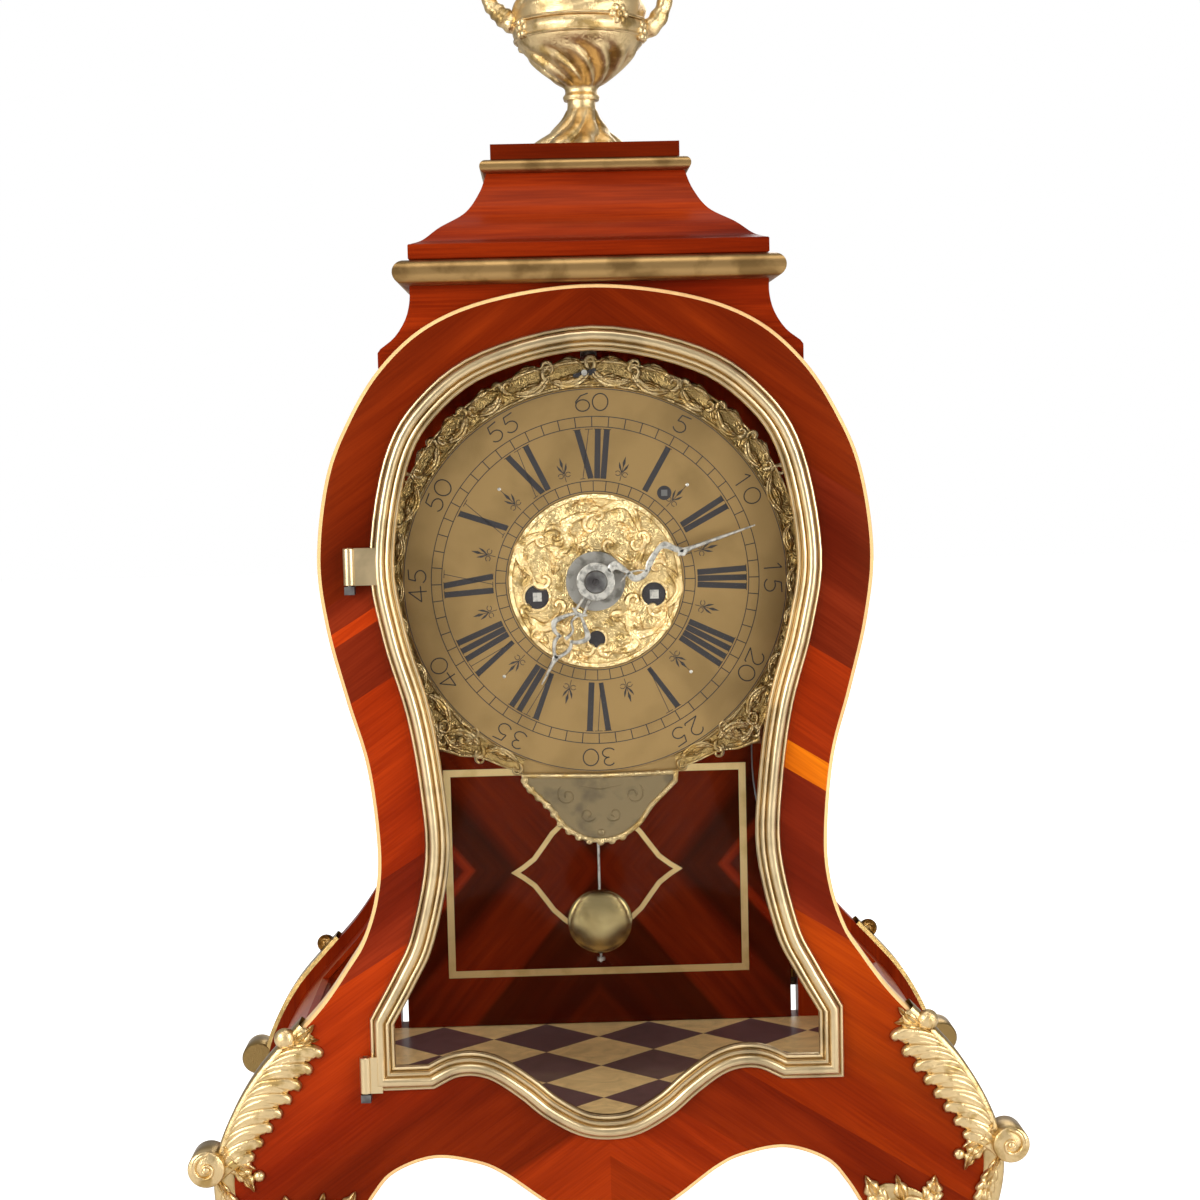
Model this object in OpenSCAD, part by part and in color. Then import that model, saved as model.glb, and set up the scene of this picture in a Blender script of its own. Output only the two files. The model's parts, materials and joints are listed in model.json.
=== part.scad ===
// Waisted bracket clock with a pendulum: veneered case on four scroll legs, gilt mounts,
// glazed front door, brass dial and a three-train spring movement.
// X runs to the right, Y from front to back and Z up, with the origin on the ground
// under the middle of the case.

/* [Case] */
// Width of the boards at the bulge beside the dial
case_w = 277.8; // [270:0.2:290]
// Height of the top of the arch above the ground
case_h = 526; // [520:1:540]
// Depth from the face of the front board to the face of the rear board
case_depth = 200; // [200:1:220]
// Thickness of the front and rear boards
board_t = 14; // [12:0.5:16]
// How far the side walls stand in from the edges of the boards
side_inset = 6; // [4:0.5:8]
// Thickness of the curved side walls
side_t = 8; // [6:0.5:9]
// Width of the boxwood stringing round the front board
string_w = 1.8; // [1:0.1:3]
// Depth of the stringing into the board
string_t = 1.5; // [0.8:0.1:2.5]
// Distance from the boards to the side windows
stile_w = 25; // [18:1:35]
// Height of the lower edge of the side windows in a case 526 high
window_low = 140; // [130:1:180]
// Height of the upper edge of the side windows in a case 526 high
window_high = 465; // [400:1:470]
// Thickness of the bent side glasses
side_glass_t = 2.5; // [2:0.1:3]
// Width of the rebate that holds a side glass
rebate_w = 4; // [3:0.5:6]

/* [Floor and seat] */
// Height of the parquet floor in a case 526 high
floor_h = 102; // [101:0.5:104]
// Thickness of the parquet
parquet_t = 2; // [1:0.5:3]
// Thickness of the board under the parquet
bottom_t = 8; // [6:0.5:12]
// Height of the top of the seat board in a case 526 high
seat_h = 300; // [296:1:304]
// Thickness of the seat board and of its cleats
seat_t = 10; // [8:0.5:10]
// Width of the cleats under the seat board
cleat_w = 12; // [8:1:16]

/* [Roof] */
// Height of the foot of the hood in a case 526 high
hood_low = 487; // [484:1:490]
// Width of the foot of the hood in a case 277.8 wide
hood_foot_w = 211.8; // [208:0.2:214]
// Width over the cornice moulding
cornice_w = 193.6; // [190:0.2:200]
// Height of the cornice moulding
cornice_h = 12; // [10:0.5:14]
// How far the cornice stands out in front of the front board
cornice_out = 8; // [7:0.5:10]
// Width of the wooden roof at its ledge
ledge_w = 178.4; // [174:0.2:182]
// Height of the ledge
ledge_h = 7.5; // [6:0.5:9]
// Height of the concave roof above the ledge
roof_h = 38; // [34:1:42]
// Width of the roof at its neck
neck_w = 101; // [96:0.5:106]
// Height of the neck moulding
neck_h = 7; // [6:0.5:9]
// How far the neck moulding stands out from the neck
neck_out = 3.4; // [2:0.2:5]
// Height of the cap board
cap_h = 7.6; // [6:0.2:10]
// Height of the foot of the finial
finial_foot_h = 30; // [26:1:34]
// Height of the urn of the finial
finial_urn_h = 91; // [84:1:98]
// Greatest radius of the urn
urn_r = 36; // [30:1:40]

/* [Front door] */
// Width of the gilt door moulding
frame_w = 12.5; // [11:0.5:13.5]
// How far the door moulding stands out from the board
frame_out = 7; // [5:0.5:7.5]
// Width of the flange behind the moulding
flange_t = 2.5; // [2:0.1:3]
// Depth of that flange into the opening
flange_d = 6; // [5:0.5:8]
// Thickness of the door glass
door_glass_t = 2.8; // [2:0.1:3]
// Distance from the middle of the case to the hinge line, in a case 277.8 wide
hinge_half = 122.5; // [122:0.1:124]
// Radius of the hinge knuckles
knuckle_r = 3; // [2.6:0.1:3]
// Radius of the hinge pins
hinge_pin_r = 1.25; // [1:0.05:1.4]
// Height of a hinge knuckle
knuckle_h = 18.5; // [14:0.5:20]

/* [Back door] */
// Half width of the lower part of the back panel in a case 277.8 wide
back_half = 114; // [112:0.5:115]
// Thickness of the back panel
back_t = 16; // [14:0.5:16]
// Width of the brass lines let into the back panel
inlay_w = 4.2; // [3:0.1:5]
// Depth of those lines
inlay_t = 1; // [0.6:0.1:1.5]

/* [Dial] */
// Height of the centre of the dial in a case 526 high
dial_h = 377; // [375:0.5:379]
// Distance from the front of the case to the dial plate
dial_setback = 30; // [28:0.5:34]
// Thickness of the dial plate
dial_t = 2; // [1.5:0.1:2.5]
// Outer radius of the chapter ring
ring_r = 98.8; // [96:0.2:99]
// Thickness of the chapter ring
ring_t = 1.5; // [1:0.1:2]
// Radius of the cast centre disc
centre_r = 44.5; // [44.5:0.1:46]
// Thickness of the cast centre disc
centre_t = 2; // [1.6:0.1:2.2]
// Width of the cast border outside the chapter ring
border_w = 7.4; // [6:0.2:8]
// Thickness of the cast border
border_t = 3; // [2:0.1:4]
// Radius of the two main winding holes
winding_hole_r = 6.2; // [5.6:0.1:6.6]
// Distance of those holes from the middle of the dial
winding_x = 30; // [29.5:0.1:30.5]
// Distance of those holes below the centre of the dial
winding_drop = 7.6; // [7:0.1:8.2]

/* [Hands] */
// Length of the minute hand
minute_l = 86; // [80:1:92]
// Length of the hour hand
hour_l = 59.5; // [54:0.5:64]
// Angle of the minute hand, clockwise from twelve
minute_a = 71.7; // [0:0.1:360]
// Angle of the hour hand, clockwise from twelve
hour_a = 209; // [0:1:360]
// Radius of the alarm disc
alarm_r = 15.2; // [13:0.2:18]

/* [Movement] */
// Distance between the movement plates
plates_gap = 50; // [48:1:56]
// Thickness of the movement plates
plate_t = 3; // [2.5:0.1:3.5]
// Width of the movement plates
plates_w = 124; // [120:1:132]
// Height of the movement plates
plates_h = 142; // [140:1:146]
// Distance between the dial plate and the front movement plate
dial_gap = 8; // [8:0.1:9]
// Radius of the spring barrels
barrel_r = 24; // [20:0.5:25]
// Length of a spring barrel
barrel_l = 24; // [20:0.5:24]
// Radius of a train arbor
arbor_r = 1.5; // [1.2:0.05:1.6]
// Teeth of the great wheels
great_n = 72; // [72]
// Leaves of the pinions that the great wheels drive
great_pinion_n = 8; // [8]
// Teeth of the centre wheel
centre_n = 72; // [72]
// Teeth of the third wheel and of the pin wheel
third_n = 60; // [60]
// Leaves of the fast pinions
fast_pinion_n = 6; // [6]
// Teeth of the escape wheel
escape_n = 30; // [30]
// Radius of the escape wheel
escape_r = 11.2; // [10:0.1:11.4]
// Radius of the bell
bell_r = 26; // [22:0.5:27]

/* [Pendulum] */
// Distance from the front of the case to the pendulum
pendulum_setback = 120; // [118:0.5:124]
// Distance from the suspension to the middle of the bob
pendulum_l = 248.5; // [240:0.5:256]
// Radius of the bob
bob_r = 18.3; // [16:0.1:20]
// Thickness of the bob
bob_t = 9; // [6:0.5:12]
// Radius of the pendulum rod
rod_r = 0.75; // [0.6:0.05:1]

/* [Fits] */
// Radial clearance of an arbor in its bore
run = 0.05; // [0.03:0.01:0.09]
// Gap between pieces that must not touch
gap = 0.5; // [0.4:0.05:0.7]

/* [Hidden] */
$fn = 48;
over = 1;

// Planes of the case, from front to back
yf = -case_depth / 2;
yr = case_depth / 2;
yf_in = yf + board_t;
yr_in = yr - board_t;

// Half widths and heights of the outline, drawn for a case 277.8 wide and 526 high
kx = case_w / 277.8;
kz = case_h / 526;
drawn_foot_z = 4;
outer_ctrl = [[0, 526], [46.9, 520.4], [80.8, 507.8], [105.2, 486.8], [122.3, 460.2],
    [133.5, 432], [138.9, 392], [135.2, 357], [126.6, 321.7], [117.4, 287.6],
    [113.5, 247.6], [115.4, 222.6], [122.2, 200.8], [130.9, 186.6], [144.3, 167.8],
    [162, 148.5], [178, 130], [190, 110], [197.5, 90], [199, 70], [194, 48],
    [185, 28], [178, 14], [176, drawn_foot_z]];
apron_ctrl = [[150, drawn_foot_z], [149, 14], [142, 32], [131, 50], [120.5, 67.6],
    [109.7, 79.4], [89.7, 86.3], [68.9, 83.2], [54.9, 76.9], [34.7, 62], [17, 50.5],
    [0, 46]];
side_apron_ctrl = [[72, drawn_foot_z - over], [70, 22], [62, 46], [44, 66], [22, 73], [0, 66]];
door_ctrl = [[0, 505.8], [54.4, 494.2], [86.8, 471.3], [104.3, 441.6], [112.9, 391.5],
    [107.5, 352.5], [97, 314], [91.3, 276], [89.8, 241.5], [97.8, 203.5],
    [106.5, 184.5], [120, 160.4]];
door_sill_ctrl = [[88.3, 123.2], [75.1, 129.1], [61.1, 127.5], [46, 117.5],
    [33.1, 106.6], [16, 96.9], [0, 94.2]];
back_ctrl = [[0, 478], [45, 472], [78, 455], [98, 425], [106, 392], [102, 352],
    [95.5, 314], [93, 276], [93.5, 245], [99, 215], [107, 190], [back_half, 168]];

// Heights and half widths that follow the size of the case
foot_z = drawn_foot_z * kz;
floor_z = floor_h * kz;
seat_z = seat_h * kz;
dial_z = dial_h * kz;
window_z0 = window_low * kz;
window_z1 = window_high * kz;
hood_z0 = hood_low * kz;
hinge_x = hinge_half * kx;
panel_half = back_half * kx;

// Points of an open curve through control points, as a Catmull-Rom spline. An end on the
// middle plane is carried on by its mirror image, and any other end runs on straight.
function cubic(a, b, c, d, t) = 0.5 * (2 * b + (c - a) * t
    + (2 * a - 5 * b + 4 * c - d) * t * t + (3 * b - a - 3 * c + d) * t * t * t);
function past(p, q) = abs(p[0]) < 0.01 ? [-q[0], q[1]] : 2 * p - q;
function smooth(p, n) = concat(
    [for (i = [0 : len(p) - 2], j = [0 : n - 1])
        cubic(i == 0 ? past(p[0], p[1]) : p[i - 1], p[i], p[i + 1],
              i == len(p) - 2 ? past(p[i + 1], p[i]) : p[i + 2], j / n)],
    [p[len(p) - 1]]);
function scaled(p) = [for (q = p) [q[0] * kx, q[1] * kz]];

// A half outline and its mirror image as one closed outline
function both(p) = concat(p, [for (i = [len(p) - 1 : -1 : 0]) if (p[i][0] > 0.01)
    [-p[i][0], p[i][1]]]);
function reversed(p) = [for (i = [len(p) - 1 : -1 : 0]) p[i]];

// Offset of a half outline that is drawn clockwise: each point moves along the mean of the
// normals of its two edges, so that both edges move in by d
function normal(a, b) = let (u = (b - a) / norm(b - a)) [u[1], -u[0]];
function inset(p, d) = [for (i = [0 : len(p) - 1])
    let (n1 = normal(i == 0 ? past(p[0], p[1]) : p[i - 1], p[i]),
         n2 = normal(p[i], i == len(p) - 1 ? past(p[i], p[i - 1]) : p[i + 1]))
    p[i] + (n1 + n2) * (d / (1 + n1 * n2))];

steps = 4;
side_curve = smooth(scaled(outer_ctrl), steps);
case_outline = both(concat(side_curve, smooth(scaled(apron_ctrl), steps)));
door_corner = [120, 123];
door_half = scaled(concat(smooth(door_ctrl, steps), [door_corner], smooth(door_sill_ctrl, steps)));
opening_inset = 4;
opening_half = inset(door_half, opening_inset);
back_z0 = floor_z + gap;
back_half_pts = concat(smooth(scaled(back_ctrl), steps), [[panel_half, back_z0], [0, back_z0]]);
inner_curve = inset(side_curve, side_inset + side_t);
inner_outline = both(inner_curve);

// Extrusions of outlines drawn in the XZ plane along Y, and in the YZ plane along X
module slab_y(pts, y0, y1) {
    translate([0, y1, 0]) rotate([90, 0, 0]) linear_extrude(y1 - y0) polygon(pts);
}
module ring_y(outer, inner, y0, y1) {
    translate([0, y1, 0]) rotate([90, 0, 0]) linear_extrude(y1 - y0)
        difference() {
            polygon(outer);
            polygon(inner);
        }
}
module slab_x(pts, x0, x1) {
    translate([x0, 0, 0]) rotate([90, 0, 90]) linear_extrude(x1 - x0) polygon(pts);
}
module box(x0, x1, y0, y1, z0, z1) {
    translate([x0, y0, z0]) cube([x1 - x0, y1 - y0, z1 - z0]);
}
module rod_y(p, r, y0, y1) {
    translate([p[0], y1, p[1]]) rotate([90, 0, 0]) cylinder(r = r, h = y1 - y0);
}
module mirrored() {
    children();
    mirror([1, 0, 0]) children();
}
module front_and_rear() {
    children();
    mirror([0, 1, 0]) children();
}

// Case
module front_board() {
    color("saddlebrown") difference() {
        slab_y(case_outline, yf, yf_in);
        slab_y(both(opening_half), yf - over, yf_in + over);
        string_ring(yf - over);
    }
}
module string_ring(y0) {
    half = concat(side_curve, smooth(scaled(apron_ctrl), steps));
    ring_y(both(inset(half, -over)), both(inset(half, string_w)), y0, yf + string_t);
}
module edge_stringing() {
    color("goldenrod") intersection() {
        string_ring(yf);
        slab_y(case_outline, yf - over, yf_in);
    }
}

gap_box_half = panel_half + 4.5;
gap_box_z1 = 131 * kz;
back_y0 = yr - back_t;
module rear_board() {
    color("sienna") difference() {
        slab_y(case_outline, yr_in, yr);
        slab_y(both(inset(back_half_pts, -2 * gap)), yr_in - over, yr + over);
        box(-gap_box_half, gap_box_half, yr_in - over, yr + over, floor_z, gap_box_z1);
    }
}

hood_top = case_h + 1.2;
module wall_strip(d0, d1, z0, z1, y1) {
    mirrored() intersection() {
        slab_y(concat(inset(side_curve, d0), reversed(inset(side_curve, d1))), -y1, y1);
        box(over, 2 * case_w, -y1, y1, z0, z1);
    }
}
window_y = yr_in - stile_w;
module side_walls() {
    lip = 3;
    half = smooth([for (p = side_apron_ctrl) [p[0], p[1] * kz]], steps);
    side_apron = concat(half, [for (p = reversed(half)) [-p[0], p[1]]]);
    color("sienna") difference() {
        wall_strip(side_inset, side_inset + side_t, foot_z, hood_z0, yr_in);
        box(-2 * case_w, 2 * case_w, -window_y, window_y, window_z0, window_z1);
        wall_strip(side_inset + lip, side_inset + side_t + over, window_z0 - rebate_w,
                   window_z1 + rebate_w, window_y + rebate_w);
        slab_x(side_apron, -2 * case_w, 2 * case_w);
    }
}
module side_glasses() {
    lip = 3;
    slack = 0.2;
    color("lightcyan", 0.4)
        wall_strip(side_inset + lip + slack, side_inset + lip + slack + side_glass_t,
                   window_z0 - rebate_w + slack, window_z1 + rebate_w - slack,
                   window_y + rebate_w - slack);
}

// A layer of the floor: it fills the case from wall to wall, and a tongue of it reaches
// into the lobe of the door opening
module floor_layer(z0, z1) {
    intersection() {
        union() {
            slab_y(inner_outline, yf_in, yr_in);
            slab_y(both(opening_half), yf + flange_d + gap, yf_in);
        }
        box(-case_w, case_w, yf, yr, z0, z1);
    }
}
module bottom_board() {
    color("peru") floor_layer(floor_z - parquet_t - bottom_t, floor_z - parquet_t);
}
module floor_parquet() {
    color("tan") floor_layer(floor_z - parquet_t, floor_z);
}

hood_half = ledge_w / 2;
hood_foot_half = hood_foot_w / 2 * kx;
hood_setback = 5;
hood_front = yf + hood_setback;
module hood() {
    wall = 9;
    z0 = hood_z0;
    ogee = smooth([[hood_half, hood_top], [hood_half + 0.2, hood_top - 8],
        [hood_half + 2.5, hood_top - 16.5], [hood_half + 8, hood_top - 25],
        [hood_foot_half - 1.5, z0 + 9.5]], 3);
    half = concat([[0, hood_top]], ogee,
        [[hood_foot_half, z0 + 7.5], [hood_foot_half, z0], [0, z0]]);
    color("sienna") difference() {
        slab_y(both(half), hood_front, -hood_front);
        slab_y(case_outline, yf - over, yf_in);
        slab_y(case_outline, yr_in, yr + over);
        box(wall - hood_half, hood_half - wall, yf_in - over, yr_in + over, z0 - over,
            hood_top - 11);
    }
}

// A block whose four sides carry the same profile: two prisms at right angles meet in it.
// The profile is a half outline for the sides at X, and deeper by extra for those at Y.
cornice_half = cornice_w / 2;
extra = yr + cornice_out - cornice_half;
function deeper(p) = [for (q = p) q[0] < 0.01 ? q : [q[0] + extra, q[1]]];
module four_sided(half) {
    far = yr + cornice_out + over;
    intersection() {
        slab_y(both(half), -far, far);
        slab_x(both(deeper(half)), -far, far);
    }
}
function half_round(hw, zc, r) = concat([[0, zc + r]],
    [for (a = [90 : -15 : -90]) [hw - r + r * cos(a), zc + r * sin(a)]], [[0, zc - r]]);
cornice_z0 = hood_top;
ledge_z0 = cornice_z0 + cornice_h + 0.5;
neck_z0 = ledge_z0 + ledge_h + roof_h;
cap_z0 = neck_z0 + neck_h + 0.5;
cap_z1 = cap_z0 + cap_h;
ring_inner = cornice_half - 13;
neck_inner = neck_w / 2 - 4;
module roof_mouldings() {
    color("darkgoldenrod") {
        difference() {
            four_sided(half_round(cornice_half, cornice_z0 + cornice_h / 2, cornice_h / 2));
            box(-ring_inner, ring_inner, -ring_inner - extra, ring_inner + extra,
                cornice_z0 - over, cornice_z0 + cornice_h + over);
        }
        difference() {
            four_sided(half_round(neck_w / 2 + neck_out, neck_z0 + neck_h / 2, neck_h / 2));
            box(-neck_inner, neck_inner, -neck_inner - extra, neck_inner + extra,
                neck_z0 - over, neck_z0 + neck_h + over);
        }
    }
}
bolt_r = 3;
module roof() {
    z = ledge_z0 + ledge_h;
    run_in = (ledge_w - neck_w) / 2;
    slope = smooth([[ledge_w / 2 - 1, z], [ledge_w / 2 - 0.4 * run_in, z + 0.24 * roof_h],
        [ledge_w / 2 - 0.7 * run_in, z + 0.46 * roof_h],
        [ledge_w / 2 - 0.9 * run_in, z + 0.74 * roof_h], [neck_w / 2, z + roof_h]], 4);
    half = concat([[0, z + roof_h]], reversed(slope),
        [[ledge_w / 2, z], [ledge_w / 2, ledge_z0], [0, ledge_z0]]);
    color("sienna") difference() {
        union() {
            four_sided(half);
            box(-ring_inner, ring_inner, -ring_inner - extra, ring_inner + extra,
                cornice_z0, ledge_z0);
        }
        translate([0, 0, cornice_z0 - over]) cylinder(r = bolt_r + run, h = cap_z1);
    }
}
module roof_cap() {
    lip = 2.2;
    color("sienna") difference() {
        union() {
            box(-neck_inner, neck_inner, -neck_inner - extra, neck_inner + extra,
                neck_z0, cap_z0);
            box(lip - neck_w / 2, neck_w / 2 - lip, lip - neck_w / 2 - extra,
                neck_w / 2 - lip + extra, cap_z0, cap_z1);
        }
        translate([0, 0, neck_z0 - over]) cylinder(r = bolt_r + run, h = cap_z1);
    }
}

// Finial: a rocaille foot on a threaded bolt, and a lidded urn with a spout and a handle
finial_z1 = cap_z1 + finial_foot_h;
module finial_foot() {
    h = finial_foot_h;
    color("gold") {
        translate([0, 0, cap_z1]) rotate_extrude() polygon(concat([[0, 0]],
            smooth([[27, 0], [26, 0.12 * h], [19, 0.35 * h], [12, 0.6 * h], [9.6, 0.8 * h],
                    [9.6, h]], 3), [[0, h]]));
        translate([0, 0, cornice_z0 + 2]) cylinder(r = bolt_r, h = cap_z1 - cornice_z0 - 2);
    }
}
module finial_urn() {
    h = finial_urn_h;
    r = urn_r;
    bowl = smooth([[0.27 * r, 0], [0.36 * r, 0.06 * h], [0.6 * r, 0.18 * h],
        [0.87 * r, 0.32 * h], [r, 0.43 * h], [0.97 * r, 0.54 * h], [0.7 * r, 0.67 * h],
        [0.36 * r, 0.74 * h], [0.34 * r, 0.78 * h], [0.46 * r, 0.81 * h],
        [0.4 * r, 0.86 * h], [0.16 * r, 0.92 * h], [0.14 * r, 0.97 * h], [0, h]], 3);
    color("gold") translate([0, 0, finial_z1]) {
        rotate_extrude() polygon(concat([[0, 0]], bowl));
        spout = smooth([[-0.5 * r, 0.4 * h], [-0.98 * r, 0.5 * h], [-1.3 * r, 0.6 * h]], 4);
        slab_y(concat(spout, [[-1.36 * r, 0.66 * h], [-1.12 * r, 0.66 * h],
            [-0.85 * r, 0.62 * h], [-0.5 * r, 0.66 * h]]), -5, 5);
        handle = smooth([[0.9 * r, 0.4 * h], [1.18 * r, 0.52 * h], [1.3 * r, 0.68 * h],
            [1.1 * r, 0.84 * h], [0.75 * r, 0.88 * h], [0.34 * r, 0.8 * h]], 4);
        inner = smooth([[0.3 * r, 0.76 * h], [0.72 * r, 0.81 * h], [0.98 * r, 0.78 * h],
            [1.12 * r, 0.67 * h], [1.02 * r, 0.56 * h], [0.8 * r, 0.5 * h]], 4);
        slab_y(concat(handle, inner), -4, 4);
    }
}

// Gilt mounts on the four knees: a band of leaves along the edge, wrapped round the edge of
// the board, and a volute that stands out at the knee
mount_t = 4;
mount_lip = 2.5;
knee_low = 36 * kz;
knee_high = 162 * kz;
knee_curve = [for (p = smooth(scaled(outer_ctrl), 12)) if (p[1] > knee_low && p[1] < knee_high) p];
leaves = 11;
leaf_w = 15;
volute_c = [205 * kx, 85 * kz];
volute_r = 9.6;
module knee_mount() {
    n = len(knee_curve);
    outer = inset(knee_curve, -mount_lip);
    leafy = [for (i = [0 : n - 1])
        let (t = i / (n - 1), w = leaf_w * (0.35 + 0.65 * sin(180 * pow(t, 0.8)))
                 * (0.72 + 0.28 * abs(sin(180 * leaves * t))))
        inset(knee_curve, w)[i]];
    difference() {
        union() {
            slab_y(concat(outer, reversed(leafy)), yf - mount_t, yf);
            slab_y(concat(outer, reversed(inset(knee_curve, over))), yf - mount_t, yf_in);
            rod_y(volute_c, volute_r, yf - cornice_out, yf_in - 3);
            rod_y(volute_c - [0, 15], volute_r / 2, yf - mount_t - 1, yf_in - 6);
        }
        slab_y(case_outline, yf, yf_in + over);
    }
}
module knee_mounts() {
    color("gold") front_and_rear() mirrored() knee_mount();
}
module foot_mount() {
    leaf = smooth(scaled([[148, 0], [146, 16], [139, 34], [130, 50], [127, 64], [136, 73],
        [147, 72], [157, 68], [166, 56], [172, 38], [176, 20], [181, 9], [180, 0]]), 3);
    scroll = [183 * kx, 9];
    difference() {
        union() {
            slab_y(leaf, yf - mount_t, yf);
            box(148 * kx, 180 * kx, yf - mount_t, yf_in, 0, foot_z);
            rod_y(scroll, scroll[1], yf - mount_t - 1, yf_in - 2);
        }
        slab_y(case_outline, yf, yf_in + over);
    }
}
module foot_mounts() {
    color("gold") front_and_rear() mirrored() foot_mount();
}

// Front door
frame_y1 = yf - 0.3;
frame_y0 = yf - frame_out;
hinge_y = yf - 5;
knuckle_z = [123.2 * kz, 380 * kz];
knuckle_edge = [114 * kx, 108 * kx];
lug_h = 4;
module door_frame() {
    step = (frame_y1 - frame_y0) / 3;
    flange_in = opening_inset + gap;
    color("gold") difference() {
        union() {
            ring_y(both(door_half), both(inset(door_half, frame_w)), frame_y1 - step, frame_y1);
            ring_y(both(inset(door_half, 1.2)), both(inset(door_half, frame_w - 1.6)),
                   frame_y1 - 2 * step, frame_y1 - step);
            ring_y(both(inset(door_half, 3.4)), both(inset(door_half, frame_w - 4.2)),
                   frame_y0, frame_y1 - 2 * step);
            ring_y(both(inset(door_half, flange_in)), both(inset(door_half, flange_in + flange_t)),
                   frame_y1, yf + flange_d);
            for (i = [0, 1]) {
                z = knuckle_z[i];
                translate([-hinge_x, hinge_y, z]) cylinder(r = knuckle_r, h = knuckle_h);
                box(-hinge_x, -knuckle_edge[i], hinge_y - 1.4, hinge_y + 2.2, z, z + knuckle_h);
            }
        }
        for (z = knuckle_z)
            translate([-hinge_x, hinge_y, z - over])
                cylinder(r = hinge_pin_r + run, h = knuckle_h + 2 * over);
    }
}
glass_in = opening_inset + gap + flange_t + 0.2;
module door_glass() {
    color("lightcyan", 0.4)
        slab_y(both(inset(door_half, glass_in)), frame_y1, frame_y1 + door_glass_t);
}
module door_glass_bead() {
    color("gold") ring_y(both(inset(door_half, glass_in)), both(inset(door_half, frame_w - 1)),
                         frame_y1 + door_glass_t, frame_y1 + door_glass_t + 1.6);
}
back_hinge = [panel_half + 3, yr + 3.2];
back_knuckle_z = [122 * kz, 378 * kz];
back_knuckle_edge = [panel_half, 104 * kx];
// Steel pins of both doors, each standing on a lug that is fixed to its board
module hinge_pins() {
    color("slategray") {
        for (z = knuckle_z) {
            translate([-hinge_x, hinge_y, z - gap - lug_h]) cylinder(r = hinge_pin_r, h = knuckle_h);
            box(-hinge_x - 2.5, -hinge_x + 2.5, hinge_y - 2.5, yf, z - gap - lug_h, z - gap);
        }
        for (z = back_knuckle_z) {
            translate([back_hinge[0], back_hinge[1], z - gap - lug_h])
                cylinder(r = hinge_pin_r, h = knuckle_h);
            box(back_hinge[0] - 2, back_hinge[0] + 6, yr, back_hinge[1] + 2.5,
                z - gap - lug_h, z - gap);
        }
    }
}
module door_catch() {
    x = door_corner[0] * kx - opening_inset;
    z = 138 * kz;
    color("darkseagreen") {
        box(x - 6, x + 12, yf_in, yf_in + 1.4, z - 4, z + 18);
        box(x - 4, x - 0.8, yf + flange_d + gap, yf_in, z, z + 12);
    }
}

// Back door
module inlay_shape(y0, y1) {
    rx = 89.3 * kx;
    z0 = 131.6 * kz;
    z1 = 256.5 * kz;
    zc = (z0 + z1) / 2;
    difference() {
        box(-rx, rx, y0, y1, z0, z1);
        box(inlay_w - rx, rx - inlay_w, y0 - over, y1 + over, z0 + inlay_w, z1 - inlay_w);
    }
    drawn = scaled([[0, 44], [14, 35], [27, 24], [38, 9], [50.9, 0]]);
    quarter = smooth([for (p = drawn) p + [0, zc]], 2);
    lozenge = concat(quarter, [for (i = [len(quarter) - 2 : -1 : 0])
        [quarter[i][0], 2 * zc - quarter[i][1]]]);
    difference() {
        slab_y(both(lozenge), y0, y1);
        slab_y(both(inset(lozenge, inlay_w * 0.7)), y0 - over, y1 + over);
    }
}
module back_panel() {
    color("saddlebrown") difference() {
        slab_y(both(back_half_pts), back_y0, yr);
        inlay_shape(back_y0 - over, back_y0 + inlay_t);
    }
}
module back_inlay() {
    color("goldenrod") inlay_shape(back_y0, back_y0 + inlay_t);
}
module back_hinge_knuckles() {
    leaf_l = 14;
    leaf_t = 1.8;
    color("goldenrod") difference() {
        for (i = [0, 1]) {
            z = back_knuckle_z[i];
            translate([back_hinge[0], back_hinge[1], z]) cylinder(r = knuckle_r, h = knuckle_h);
            edge = back_knuckle_edge[i];
            box(edge - leaf_l, edge, yr, yr + leaf_t, z, z + knuckle_h);
            box(edge - over, back_hinge[0], yr + gap, yr + leaf_t, z, z + knuckle_h);
        }
        for (z = back_knuckle_z)
            translate([back_hinge[0], back_hinge[1], z - over])
                cylinder(r = hinge_pin_r + run, h = knuckle_h + 2 * over);
    }
}
knob_c = [-88 * kx, 300 * kz];
module back_knob() {
    knob = smooth([[2.4, 0], [2.4, 2], [5.6, 3.6], [6, 5.2], [4, 6.8], [0, 7.4]], 3);
    color("goldenrod") translate([knob_c[0], yr, knob_c[1]]) rotate([-90, 0, 0])
        rotate_extrude() polygon(concat([[0, 0]], knob));
}

// Seat of the movement
wall_half = 103.5 * kx;
module seat_board() {
    seat_y0 = fp_y - 7;
    seat_y1 = bp_y + plate_t + 11;
    color("peru") {
        intersection() {
            slab_y(inner_outline, seat_y0, seat_y1);
            box(-case_w, case_w, seat_y0, seat_y1, seat_z - seat_t, seat_z);
        }
        mirrored() intersection() {
            slab_y(inner_outline, seat_y0, seat_y1);
            box(wall_half - cleat_w, case_w, seat_y0, seat_y1, seat_z - 2 * seat_t,
                seat_z - seat_t);
        }
    }
}

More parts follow.
